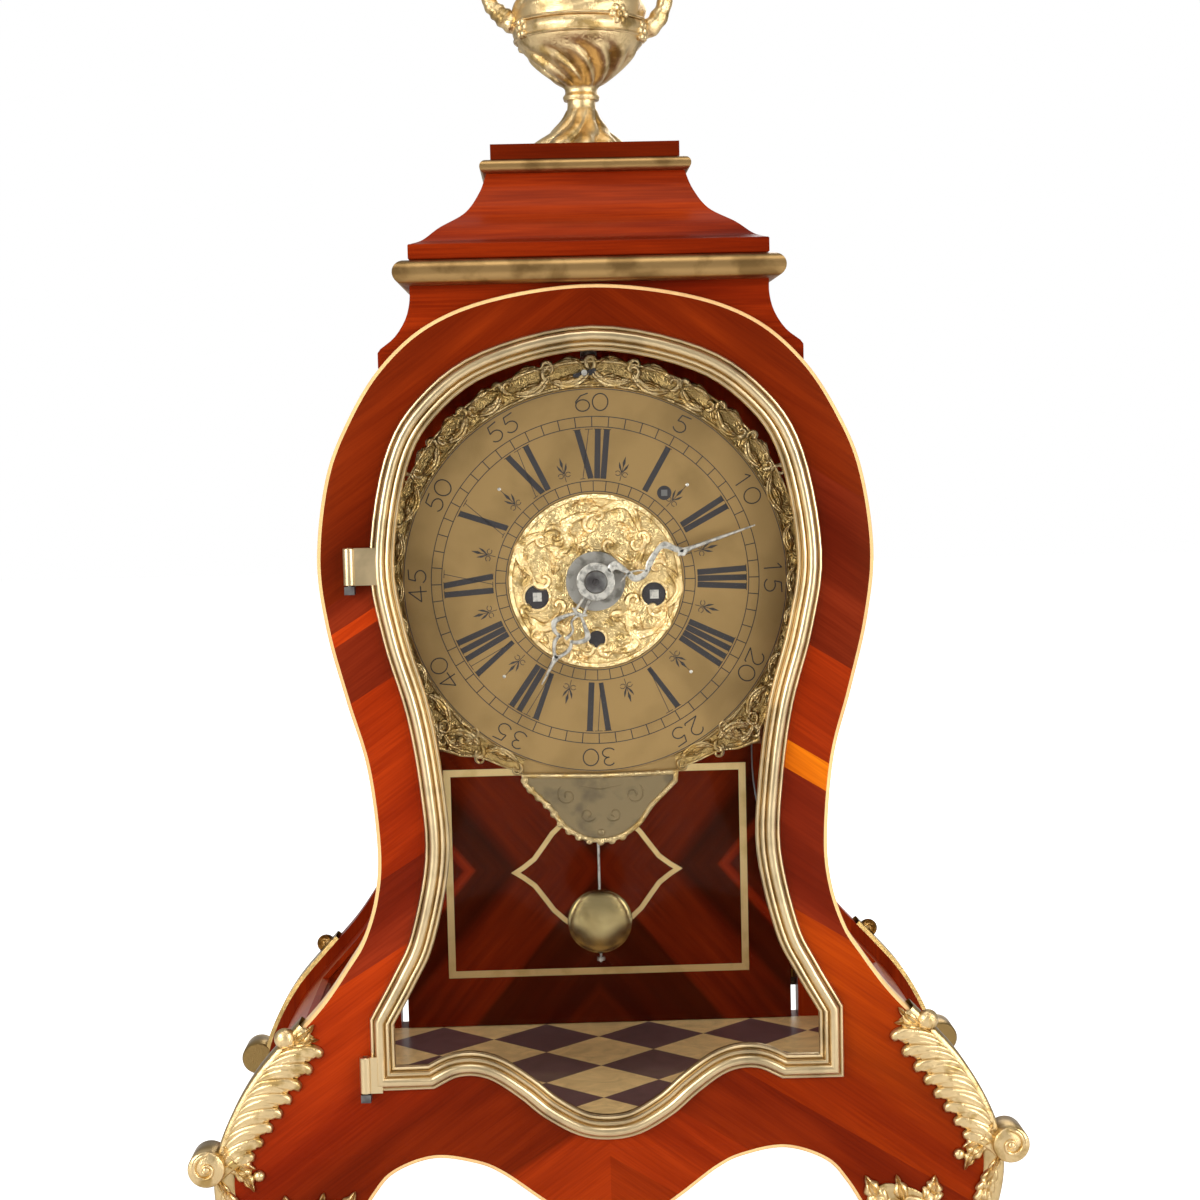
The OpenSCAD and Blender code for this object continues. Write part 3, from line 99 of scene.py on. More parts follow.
def catmull_rom(p, steps):
    """Catmull-Rom curve from the second to the last but one of the points p: each span is the
    cubic whose slope at a point is half the way between that point's two neighbours."""
    t = np.arange(steps)[:, None] / steps
    spans = [0.5 * (2 * b + (c - a) * t + (2 * a - 5 * b + 4 * c - d) * t**2
                    + (3 * b - a - 3 * c + d) * t**3)
             for a, b, c, d in zip(p[:-3], p[1:-2], p[2:-1], p[3:])]
    return np.vstack(spans + [p[-2:-1]])


def past(a, b):
    """The point beyond the end a of a half outline, where b is next to a. An end on the
    middle plane goes on as its mirror image, and any other end runs on straight."""
    return np.array([-b[0], b[1]]) if abs(a[0]) < 0.01 else 2 * a - b


def spline(points, steps):
    """Catmull-Rom curve through the points of a half outline, with steps spans between
    neighbours."""
    p = np.array(points, float)
    return catmull_rom(np.vstack([past(p[0], p[1]), p, past(p[-1], p[-2])]), steps)


def free_spline(points, steps):
    """Catmull-Rom curve of any dimension whose ends run on straight."""
    p = np.array(points, float)
    return catmull_rom(np.vstack([2 * p[0] - p[1], p, 2 * p[-1] - p[-2]]), steps)


def inset(half, d):
    """Each point of a half outline drawn clockwise moves inwards by d along the mean of the
    normals of its two edges."""
    p = np.array(half, float)
    q = np.vstack([past(p[0], p[1]), p, past(p[-1], p[-2])])
    u = np.diff(q, axis=0)
    u /= np.linalg.norm(u, axis=1)[:, None]
    n = np.stack([u[:, 1], -u[:, 0]], 1)
    n1, n2 = n[:-1], n[1:]
    return p + (n1 + n2) * (d / (1 + (n1 * n2).sum(1)))[:, None]


def both(half):
    """A half outline joined with its mirror image into one closed outline."""
    half = np.array(half, float)
    other = half[::-1][half[::-1][:, 0] > 0.01]
    return np.vstack([half, other * [-1, 1]])


def joined(*parts):
    """Points and lists of points as one list."""
    return np.vstack([np.array(p, float).reshape(-1, 2) for p in parts])


def arc_lengths(p):
    """Distance along a line of points, from the first point to each."""
    return np.concatenate([[0], np.cumsum(np.hypot(*np.diff(p, axis=0).T))])


def point_at(s, lengths, p):
    """Point at distance s along a line of points with the given arc lengths."""
    return np.array([np.interp(s, lengths, p[:, i]) for i in (0, 1)])


def arc_points(cx, cy, rx, ry, a0, a1, n=9):
    """Points of an elliptic arc from angle a0 to a1 in degrees."""
    a = np.radians(np.linspace(a0, a1, n))
    return np.column_stack([cx + rx * np.cos(a), cy + ry * np.sin(a)])


def at_depth(xz, y):
    """XZ points as points in space at depth y."""
    return np.column_stack([xz[:, 0], np.full(len(xz), y), xz[:, 1]])


# Meshes

class Builder:
    """Collects vertices in millimetres and faces of one piece."""

    def __init__(self):
        self.verts, self.faces, self.count = [], [], 0

    def add(self, verts, faces):
        verts = np.array(verts, float).reshape(-1, 3)
        self.verts.append(verts)
        self.faces += [tuple(int(i) + self.count for i in f) for f in faces]
        self.count += len(verts)

    def grid(self, points, close_u=False, close_v=False):
        """points has shape (u, v, 3), and neighbours are joined by four-sided faces."""
        points = np.array(points, float)
        nu, nv = points.shape[:2]
        i = np.arange(nu if close_u else nu - 1)[:, None]
        j = np.arange(nv if close_v else nv - 1)[None, :]
        i2, j2 = (i + 1) % nu, (j + 1) % nv
        quads = np.stack(np.broadcast_arrays(i * nv + j, i2 * nv + j, i2 * nv + j2,
                                             i * nv + j2), -1)
        self.add(points, quads.reshape(-1, 4))

    def box(self, xs, ys, zs):
        """A box between two values on each axis."""
        self.add([(x, y, z) for x in xs for y in ys for z in zs],
                 [(0, 1, 3, 2), (4, 6, 7, 5), (0, 4, 5, 1), (2, 3, 7, 6), (0, 2, 6, 4),
                  (1, 5, 7, 3)])

    def cap(self, loops, y, flip=False):
        """Flat face at depth y, bounded by the first XZ loop and holed by the others."""
        loops3 = [[Vector((a[0], a[1], 0)) for a in loop] for loop in loops]
        tris = tessellate_polygon(loops3)
        verts = [(a[0], y, a[1]) for loop in loops for a in loop]
        self.add(verts, [t[::-1] if flip else t for t in tris])

    def mirror(self, *signs):
        """Adds the mirror image of all that is there: every coordinate times its sign."""
        verts = np.vstack(self.verts) * signs
        faces = [f[::-1] for f in self.faces]
        self.verts.append(verts)
        self.faces += [tuple(i + self.count for i in f) for f in faces]
        self.count += len(verts)

    def finish(self, name, body, material, nodes=(), sharp=32):
        """Makes the object, lets it ride on a body and stand for CAD nodes."""
        mesh = bpy.data.meshes.new(name)
        mesh.from_pydata((np.vstack(self.verts) * MM).tolist(), [], self.faces)
        mesh.validate()
        faces_out(mesh)
        mesh.shade_smooth()
        mesh.set_sharp_from_angle(angle=math.radians(sharp))
        obj = bpy.data.objects.new(name, mesh)
        bpy.context.scene.collection.objects.link(obj)
        mesh.materials.append(material)
        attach(obj, body)
        if nodes:
            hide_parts(*nodes)
        return obj


def faces_out(mesh):
    """Joins double points and turns the faces of every closed part outwards."""
    bm = bmesh.new()
    bm.from_mesh(mesh)
    bmesh.ops.remove_doubles(bm, verts=bm.verts, dist=0.00001)
    closed = [f for f in bm.faces if all(e.is_manifold for e in f.edges)]
    if closed:
        bmesh.ops.recalc_face_normals(bm, faces=bm.faces)
    bm.to_mesh(mesh)
    bm.free()


def board(b, outer, opening, y0, y1, edge):
    """A board with a softly rounded front edge: rings of the outline step back and out along
    a quarter circle of radius edge, then run straight to the rear face at y1."""
    rings = [(inset(outer, edge * (1 - math.sin(a))), y0 + edge * (1 - math.cos(a)))
             for a in np.linspace(0, math.pi / 2, 4)] + [(outer, y1)]
    loops = [np.maximum(both(r), [-np.inf, CASE_Z0]) for r, _ in rings]
    b.grid([at_depth(loop, ring[1]) for loop, ring in zip(loops, rings)], close_v=True)
    holes = [] if opening is None else [both(opening)]
    b.cap([loops[0]] + holes, y0)
    b.cap([loops[-1]] + holes, y1, flip=True)
    if opening is not None:
        b.grid([at_depth(both(opening), y) for y in (y1, y0)], close_v=True)


def moulding(b, half, profile):
    """A profile of (inset, depth) pairs swept round the closed outline."""
    b.grid([at_depth(both(inset(half, d)), y) for d, y in profile], close_u=True, close_v=True)


def lathe(b, profile, centre, axis="z", steps=64, shape=None):
    """A profile of (radius, height) turned about an axis through centre. shape may change
    the radius by a factor that depends on the angle and the height."""
    profile = np.array(profile, float)
    a = np.linspace(0, 2 * math.pi, steps, endpoint=False)
    r = profile[:, 0][:, None] * np.ones_like(a)
    h = profile[:, 1][:, None] * np.ones_like(a)
    if shape:
        r = r * shape(a[None, :], h)
    x, y = r * np.cos(a), r * np.sin(a)
    pts = np.stack([x, y, h], -1) if axis == "z" else np.stack([x, -h, y], -1)
    b.grid(pts + np.array(centre, float), close_v=True)


def ridge(b, path, width, height, y, across=7, groove=0.0):
    """A raised strip with round ends along an XZ path on a face at depth y. Its cross-section
    is half an ellipse, width across and height high, with a groove along its middle."""
    p = np.array(path, float)
    n = len(p)
    t = np.linspace(0, 1, n)
    w = np.broadcast_to(width(t) if callable(width) else width, n).astype(float)
    h = np.broadcast_to(height(t) if callable(height) else height, n).astype(float)
    end = np.clip(np.minimum(t, 1 - t) * n / 2.5, 0.05, 1) ** 0.5
    w, h = w * end, h * end
    tangent = np.gradient(p, axis=0)
    tangent /= np.maximum(np.linalg.norm(tangent, axis=1), 1e-9)[:, None]
    side = np.stack([tangent[:, 1], -tangent[:, 0]], 1)
    u = np.linspace(-1, 1, across)
    bump = np.sqrt(np.maximum(0, 1 - u**2)) * (1 - groove * np.exp(-((u / 0.28) ** 2)))
    xz = p[:, None, :] + side[:, None, :] * (u[None, :, None] * w[:, None, None] / 2)
    depth = y - h[:, None] * bump[None, :]
    b.grid(np.stack([xz[..., 0], depth, xz[..., 1]], -1))


def tapered(size, tip):
    """Width that swells to size a little before the middle and thins out to the share tip
    of it at both ends."""
    fat = 0.45

    def f(t):
        s = np.where(t < fat, t / fat, (1 - t) / (1 - fat))
        return size * (tip + (1 - tip) * np.sin(s * math.pi / 2) ** 0.8)
    return f


def spiral(centre, r0, r1, a0, turns, n=40):
    """Points of a spiral that goes from radius r0 to r1 through so many turns."""
    t = np.linspace(0, 1, n)
    r = r0 * (r1 / r0) ** t
    a = math.radians(a0) + turns * 2 * math.pi * t
    return np.column_stack([centre[0] + r * np.cos(a), centre[1] + r * np.sin(a)])


def c_scroll(b, start, end, bulge, size, height, y, curl=0.3):
    """A C-scroll from start to end: an arc that bulges to one side, curled in at both ends."""
    s, e = np.array(start, float), np.array(end, float)
    d = e - s
    length = np.hypot(*d)
    side = np.array([-d[1], d[0]]) / length
    t = np.linspace(0, 1, 24)
    arc = s + d * t[:, None] + side * (bulge * length * np.sin(math.pi * t))[:, None]
    r = curl * length / 2
    for point, sign in ((s, 1), (e, -1)):
        turn = spiral((0, 0), r, r * 0.22, 0, 0.95, 22)
        local = turn - turn[0]
        piece = (point - np.outer(local[:, 1], d / length * sign)
                 + np.outer(local[:, 0], side * np.sign(bulge)))
        ridge(b, piece, lambda q: size * (1 - 0.5 * q), lambda q: height * (1 - 0.3 * q), y, 5)
    ridge(b, arc, tapered(size * 1.5, 0.55), height, y, 7, groove=0.35)


def leaf(b, base, tip, width, height, y, bend=0.0, veins=3):
    """An acanthus leaf: a grid bent to one side whose half width swells and thins out, with
    lobes that sweep forward. Its height falls off from the midrib, with a groove between
    lobes and beside the rib."""
    s, e = np.array(base, float), np.array(tip, float)
    d = e - s
    length = np.hypot(*d)
    d /= length
    side = np.array([-d[1], d[0]])
    v = np.linspace(0, 1, 6 * veins + 9)[:, None]
    u = np.linspace(-1, 1, 13)[None, :]
    lobes = np.abs(np.sin(math.pi * (veins + 0.5) * v))
    envelope = (0.3 + 0.7 * np.sin(math.pi * np.minimum(1, v * 1.25) / 1.25) ** 0.8) * (1 - v**5)
    half = width / 2 * envelope * (0.66 + 0.34 * lobes**0.7)
    sweep = 0.75 * half * np.abs(u) ** 1.4 * (1 - v**2)
    along = length * v + sweep
    across = bend * length * np.sin(math.pi * v) + u * half
    rise = np.sqrt(np.maximum(0, 1 - u**2)) * (0.35 + 0.65 * lobes**0.5)
    rise = rise * (0.75 + 0.25 * np.sin(math.pi * np.minimum(1, v * 1.1)))
    rise += 0.3 * np.exp(-((u / 0.16) ** 2)) - 0.25 * np.exp(-(((np.abs(u) - 0.3) / 0.1) ** 2))
    rise *= np.minimum(1, 6 * (1 - v)) ** 0.5
    xz = s + along[..., None] * d + across[..., None] * side
    edge = (np.abs(u) < 1) * 1.0
    b.grid(np.stack([xz[..., 0], y - height * np.maximum(rise, 0) * edge, xz[..., 1]], -1))


def ribbon(b, path, widths, y, thickness):
    """A flat strip along an XZ path, bevelled in front, with closed ends. widths gives its
    width at points spread evenly along the path."""
    p = free_spline(path, 8)
    n = len(p)
    w = np.interp(np.linspace(0, 1, n), np.linspace(0, 1, len(widths)), widths) / 2
    t = np.gradient(p, axis=0)
    t /= np.maximum(np.linalg.norm(t, axis=1), 1e-9)[:, None]
    side = np.stack([t[:, 1], -t[:, 0]], 1)
    section = ((-1, 0), (-1, 0.55), (-0.6, 1), (0.6, 1), (1, 0.55), (1, 0))
    grid = np.stack([at_depth(p + side * (u * w)[:, None], y - h * thickness)
                     for u, h in section])
    b.grid(grid, close_u=True)
    for end in (0, -1):
        b.add(grid[:, end], [(0, 1, 2, 3, 4, 5)])


def blob(b, centre, radius, height, y, steps=12):
    """A low round boss."""
    q = np.linspace(0, math.pi / 2, 5)
    profile = np.column_stack([radius * np.cos(q), height * np.sin(q)])
    lathe(b, profile, (centre[0], y, centre[1]), "y", steps)


# Materials

def principled(name, color, roughness, metallic=0.0, coat=0.0):
    """A new material and its node tree and shader."""
    mat = bpy.data.materials.new(name)
    mat.use_nodes = True
    tree = mat.node_tree
    shader = tree.nodes["Principled BSDF"]
    shader.inputs["Base Color"].default_value = (*color, 1)
    shader.inputs["Roughness"].default_value = roughness
    shader.inputs["Metallic"].default_value = metallic
    shader.inputs["Coat Weight"].default_value = coat
    shader.inputs["Coat Roughness"].default_value = 0.06
    return mat, tree, shader


def connect(tree, *pairs):
    """Links each output to its input."""
    for source, socket in pairs:
        tree.links.new(source, socket)


def node(tree, kind, **values):
    """A new node whose inputs, or else its own settings, have the given values."""
    n = tree.nodes.new(kind)
    for key, value in values.items():
        if key in n.inputs:
            n.inputs[key].default_value = value
        else:
            setattr(n, key, value)
    return n


def math_node(tree, operation, a, b=None):
    """Result of an operation on one or two numbers or outputs."""
    n = node(tree, "ShaderNodeMath", operation=operation)
    for socket, value in zip(n.inputs, (a, b)):
        if value is None:
            continue
        if isinstance(value, (int, float)):
            socket.default_value = value
        else:
            tree.links.new(value, socket)
    return n.outputs[0]


def weighted(tree, a, wa, b, wb):
    """a times wa plus b times wb."""
    return math_node(tree, "ADD", math_node(tree, "MULTIPLY", a, wa),
                     math_node(tree, "MULTIPLY", b, wb))


def ramp(tree, fac, stops, interpolation="LINEAR"):
    """Colour ramp through (position, colour) stops."""
    n = tree.nodes.new("ShaderNodeValToRGB")
    n.color_ramp.interpolation = interpolation
    while len(n.color_ramp.elements) < len(stops):
        n.color_ramp.elements.new(0.5)
    for element, (position, color) in zip(n.color_ramp.elements, stops):
        element.position = position
        element.color = (*color, 1)
    tree.links.new(fac, n.inputs[0])
    return n.outputs[0]


def mixed(tree, fac, a, b, mode="MIX"):
    """Colour b blended into colour a by the share fac. The mix node takes its colours at
    inputs 6 and 7 and gives one at output 2."""
    n = tree.nodes.new("ShaderNodeMix")
    n.data_type = "RGBA"
    n.blend_type = mode
    for socket, value in ((n.inputs[0], fac), (n.inputs[6], a), (n.inputs[7], b)):
        if isinstance(value, (int, float)):
            socket.default_value = value
        elif isinstance(value, tuple):
            socket.default_value = (*value, 1)
        else:
            tree.links.new(value, socket)
    return n.outputs[2]


def object_xyz(tree):
    """Place in the object's own frame, as a vector and as three coordinates."""
    coords = tree.nodes.new("ShaderNodeTexCoord")
    split = tree.nodes.new("ShaderNodeSeparateXYZ")
    tree.links.new(coords.outputs["Object"], split.inputs[0])
    return coords.outputs["Object"], split.outputs


def noise(tree, vector, scale, detail, distortion=0.0):
    """Value of a noise texture."""
    n = node(tree, "ShaderNodeTexNoise", Scale=scale, Detail=detail, Distortion=distortion)
    tree.links.new(vector, n.inputs["Vector"])
    return n.outputs["Fac"]


def bump(tree, shader, height, strength, distance):
    """Raises the shader's surface by a height, on top of any bump that it has."""
    n = node(tree, "ShaderNodeBump", Strength=strength, Distance=distance)
    normal = shader.inputs["Normal"]
    if normal.is_linked:
        tree.links.new(normal.links[0].from_socket, n.inputs["Normal"])
    connect(tree, (height, n.inputs["Height"]), (n.outputs[0], normal))


def grain(tree, x, y, z, angle, contrast):
    """Colour to multiply a wood with: noise stretched along a grain that runs outwards and
    down by the angle, in broad figure, narrow stripes and short pores."""
    c, s = math.cos(math.radians(angle)), math.sin(math.radians(angle))
    along = weighted(tree, x, c, z, -s)
    across = weighted(tree, x, s, z, c)

    def stretched(a, b):
        n = tree.nodes.new("ShaderNodeCombineXYZ")
        for socket, value, scale in zip(n.inputs, (along, across, y), (a, b, b)):
            tree.links.new(math_node(tree, "MULTIPLY", value, scale), socket)
        return n.outputs[0]

    color = (1.0, 1.0, 1.0)
    for size, detail, low, high in GRAIN:
        fac = noise(tree, stretched(*size), 1.0, detail, 0.4)
        low, high = 1 + (low - 1) * contrast, 1 + (high - 1) * contrast
        tint = ramp(tree, fac, [(0.33, (low, low * low, low * low)), (0.67, (high, high, high))])
        color = tint if isinstance(color, tuple) else mixed(tree, 1.0, color, tint, "MULTIPLY")
    return color


def veneer(name, base, angle, mirror=True, contrast=1.0, roughness=0.33, coat=0.03,
           pieces=None, quarter=None):
    """Polished veneer of one base colour, or of pieces: for each side a list of (height,
    colour), whose joints run outwards and down from the middle, and a list of (height,
    share of that colour) between which the shade changes slowly. quarter is a height at
    which the grain is mirrored too, as in quartered veneer."""
    mat, tree, shader = principled(name, base, roughness, coat=coat)
    shader.inputs["Specular IOR Level"].default_value = 0.16
    shader.inputs["Specular Tint"].default_value = (1.0, 0.45, 0.15, 1)
    _, (x, y, z) = object_xyz(tree)
    side = math_node(tree, "GREATER_THAN", x, 0.0)
    if mirror:
        x = math_node(tree, "ABSOLUTE", x)
    if quarter:
        z = math_node(tree, "ABSOLUTE", math_node(tree, "SUBTRACT", z, quarter * MM))
    color = base
    if pieces:
        height = math_node(tree, "ADD", z, math_node(tree, "MULTIPLY", x, JOINT_SLOPE))
        share = math_node(tree, "DIVIDE", height, JOINT_TOP * MM)
        sides = []
        for stops, shades in pieces:
            tone = ramp(tree, share, [(h / JOINT_TOP, tone) for h, tone in stops], "CONSTANT")
            shade = ramp(tree, share, [(h / JOINT_TOP, (v, v, v)) for h, v in shades])
            sides.append(mixed(tree, 1.0, tone, shade, "MULTIPLY"))
        color = mixed(tree, side, *sides)
    if quarter:
        turn = math.radians(angle)
        across = weighted(tree, x, math.sin(turn), z, math.cos(turn))
        share = math_node(tree, "DIVIDE", math_node(tree, "ADD", across, QUARTER_START),
                          QUARTER_SPAN)
        stripes = ramp(tree, share, [(p, (v, v, v)) for p, v in QUARTER_STRIPES])
        color = mixed(tree, 1.0, color, stripes, "MULTIPLY")
    color = mixed(tree, 1.0, color, grain(tree, x, y, z, angle, contrast), "MULTIPLY")
    tree.links.new(color, shader.inputs["Base Color"])
    return mat


def metal(name, color, dark, roughness, wear=0.5, scale=160, grain_depth=0.12, hollow_shade=None,
          chased=0.0):
    """Cast or worked metal whose colour goes darker in patches, with a fine uneven surface.
    The optional pair of depths in Y paints shade into the hollows: where |Y| is below the first
    depth the colour is darkened, and by the second depth it is back to its own. chased is how
    deep the curling tool marks are that cover the surface."""
    mat, tree, shader = principled(name, color, roughness, 1.0)
    vector, (_, y, _) = object_xyz(tree)
    patches = noise(tree, vector, scale, 5, 0.3)
    fine = noise(tree, vector, scale * 9, 3)
    shade = ramp(tree, patches, [(0.36, dark), (0.36 + 0.3 * wear, color)])
    # Painted shade: hollows that lie deep towards the board or the dial plate are darkened
    if hollow_shade:
        depth = node(tree, "ShaderNodeMapRange")
        depth.inputs["From Min"].default_value = hollow_shade[0] * MM
        depth.inputs["From Max"].default_value = hollow_shade[1] * MM
        tree.links.new(math_node(tree, "ABSOLUTE", y), depth.inputs["Value"])
        shade = mixed(tree, depth.outputs[0], tuple(0.7 * d for d in dark), shade)
    tree.links.new(shade, shader.inputs["Base Color"])
    bump(tree, shader, fine, grain_depth, 0.0003)
    if chased:
        # Bands of a warped noise give curled lines, like the marks of a matting tool
        marks = noise(tree, vector, 95, 2, 2.6)
        lines = math_node(tree, "SINE", math_node(tree, "MULTIPLY", marks, 64.0))
        bump(tree, shader, lines, chased, 0.0005)
    return mat


def clear_glass(name):
    """Pane that is clear straight through. Only where a ray comes in does it reflect, more
    so at grazing angles."""
    mat = bpy.data.materials.new(name)
    mat.use_nodes = True
    tree = mat.node_tree
    tree.nodes.clear()
    out = tree.nodes.new("ShaderNodeOutputMaterial")
    mix = tree.nodes.new("ShaderNodeMixShader")
    clear = node(tree, "ShaderNodeBsdfTransparent", Color=(0.985, 0.992, 0.988, 1))
    gloss = node(tree, "ShaderNodeBsdfGlossy", Roughness=0.02)
    fresnel = node(tree, "ShaderNodeFresnel", IOR=1.06)
    geometry = tree.nodes.new("ShaderNodeNewGeometry")
    enters = math_node(tree, "SUBTRACT", 1.0, geometry.outputs["Backfacing"])
    share = math_node(tree, "MULTIPLY", fresnel.outputs[0], enters)
    connect(tree, (share, mix.inputs[0]), (clear.outputs[0], mix.inputs[1]),
            (gloss.outputs[0], mix.inputs[2]), (mix.outputs[0], out.inputs[0]))
    return mat


def parquet(name, light, dark):
    """Lozenge parquet: two families of slanted lines cut the floor into diamonds 61 wide and
    57 deep, and the diamonds alternate between a light and a dark wood."""
    mat, tree, shader = principled(name, light, 0.35, coat=0.2)
    vector, (x, y, _) = object_xyz(tree)
    u, v = (math_node(tree, "MULTIPLY", math_node(tree, "SUBTRACT", value, start), 1 / size)
            for value, start, size in ((x, -0.0017, 0.061), (y, 0.056, 0.057)))
    rows = [math_node(tree, "FLOOR", math_node(tree, "ADD", math_node(tree, way, u, v), 100))
            for way in ("ADD", "SUBTRACT")]
    odd = math_node(tree, "MODULO", math_node(tree, "ADD", *rows), 2)
    figure = noise(tree, vector, 60, 6, 1.5)
    wood = ramp(tree, figure, [(0.3, (0.82, 0.78, 0.74)), (0.7, (1.15, 1.12, 1.08))])
    color = mixed(tree, odd, dark, light)
    tree.links.new(mixed(tree, 1.0, color, wood, "MULTIPLY"), shader.inputs["Base Color"])
    return mat


# Settings

class ClockCase(bpy.types.PropertyGroup):
    main: FloatVectorProperty(name="Veneer", description="Main colour of the veneer",
                              subtype="COLOR", default=(0.37, 0.036, 0.003))
    bright: FloatVectorProperty(name="Bright veneer", description="Colour of the bright pieces",
                                subtype="COLOR", default=(0.50, 0.062, 0.002))
    dark: FloatVectorProperty(name="Dark veneer", description="Colour of the dark pieces",
                              subtype="COLOR", default=(0.20, 0.020, 0.005))
    sliver: FloatVectorProperty(name="Sliver", description="Colour of the narrow orange piece",
                                subtype="COLOR", default=(0.70, 0.20, 0.004))
    grain_angle: FloatProperty(name="Grain angle", description="How far the grain falls outwards",
                               subtype="ANGLE", default=math.radians(36))
    edge: FloatProperty(name="Edge radius", description="Rounding of the board edges in mm",
                        default=0.7, min=0.1, max=1.5)
    curve_steps: IntProperty(name="Curve steps", description="Spans between outline points",
                             default=10, min=4, max=24)


class ClockMetal(bpy.types.PropertyGroup):
    gilt: FloatVectorProperty(name="Gilding", description="Colour of the gilt mounts",
                              subtype="COLOR", default=(0.78, 0.58, 0.30))
    gilt_dark: FloatVectorProperty(name="Worn gilding", description="Colour where gilding is worn",
                                   subtype="COLOR", default=(0.50, 0.33, 0.12))
    frame: FloatVectorProperty(name="Door brass", description="Colour of the door moulding",
                               subtype="COLOR", default=(0.70, 0.54, 0.31))
    brass: FloatVectorProperty(name="Dial brass", description="Colour of the dial brass",
                               subtype="COLOR", default=(0.44, 0.28, 0.115))
    steel: FloatVectorProperty(name="Steel", description="Colour of the hands",
                               subtype="COLOR", default=(0.66, 0.62, 0.56))
    gilt_roughness: FloatProperty(name="Gilt roughness", description="Roughness of the gilding",
                                  subtype="FACTOR", default=0.3, min=0, max=1)


class ClockDial(bpy.types.PropertyGroup):
    minute_angle: FloatProperty(name="Minute hand", description="Clockwise from twelve",
                                subtype="ANGLE", default=math.radians(71.7))
    hour_angle: FloatProperty(name="Hour hand", description="Clockwise from twelve",
                              subtype="ANGLE", default=math.radians(209))
    minute_length: FloatProperty(name="Minute hand length", description="Length in mm", default=86)
    hour_length: FloatProperty(name="Hour hand length", description="Length in mm", default=59.5)


class ClockStage(bpy.types.PropertyGroup):
    floor_color: FloatVectorProperty(name="Floor", description="Colour of the floor",
                                     subtype="COLOR", default=(0.9, 0.9, 0.9))
    floor_glow: FloatProperty(name="Floor glow", description="Light that the floor gives off",
                              default=0.8, min=0, max=2)
    key_power: FloatProperty(name="Key light", description="Power of the key light",
                             subtype="POWER", default=20)
    fill_power: FloatProperty(name="Fill light", description="Power of the fill light",
                              subtype="POWER", default=17)


MATERIALS = {}


def shaded(color, share):
    """A colour times a share, no brighter than 1."""
    return tuple(min(1.0, share * c) for c in color)


def front_pieces(case):
    """Joint heights and tones of the front veneer, and its slow shading, on the left and on
    the right. A height is where the joint would meet the middle of the case. The narrow band
    of full main colour from 428 to 436 on the left is a painted highlight."""
    def tones(*stops):
        return [(height, shaded(color, share)) for height, color, share in stops]

    main, bright, dark = case.main, case.bright, case.dark
    # From 428 to 436 on the left: a painted highlight, full main colour between two darker pieces
    left = tones((0, main, 0.7), (108, main, 0.9), (258, dark, 1.0), (299, main, 0.9),
                 (396, dark, 0.8), (428, main, 1.0), (436, dark, 0.8), (452, main, 0.4))
    right = tones((0, main, 0.57), (84, main, 0.74), (130, main, 0.58), (168, bright, 0.66),
                  (268.5, dark, 1.0), (338, case.sliver, 1.0), (353, main, 0.8),
                  (410, dark, 0.72), (500, main, 0.38))
    return ((left, [(0, 1.0), (106, 1.0), (110, 0.5), (165, 0.58), (190, 1.0), (640, 1.0)]),
            (right, [(0, 1.0), (190, 1.0), (214, 0.7), (238, 0.95), (640, 1.0)]))


def wood_looks(case):
    """What veneer() is given for each wood."""
    main = tuple(case.main)
    back = tuple(0.34 * (m + d) / 2 for m, d in zip(main, case.dark))
    return {
        "veneer": dict(name="Veneer", base=main, angle=math.degrees(case.grain_angle),
                       pieces=front_pieces(case)),
        "veneer_roof": dict(name="Roof veneer", base=shaded(main, 0.62), angle=0, mirror=False,
                            contrast=1.3),
        "veneer_cap": dict(name="Cap veneer", base=shaded(main, 0.4), angle=0, mirror=False),
        "veneer_side": dict(name="Side veneer", base=shaded(main, 0.7), angle=90, mirror=False),
        "veneer_back": dict(name="Back veneer", base=back, angle=-50, contrast=1.6,
                            roughness=0.35, coat=0.1, quarter=BACK_CENTRE),
        "plain_wood": dict(name="Plain wood", base=(0.26, 0.14, 0.07), angle=90, mirror=False,
                           roughness=0.5, coat=0.0),
        "stringing": dict(name="Stringing", base=(0.80, 0.56, 0.24), angle=90, mirror=False,
                          contrast=0.3, roughness=0.4, coat=0.2),
    }


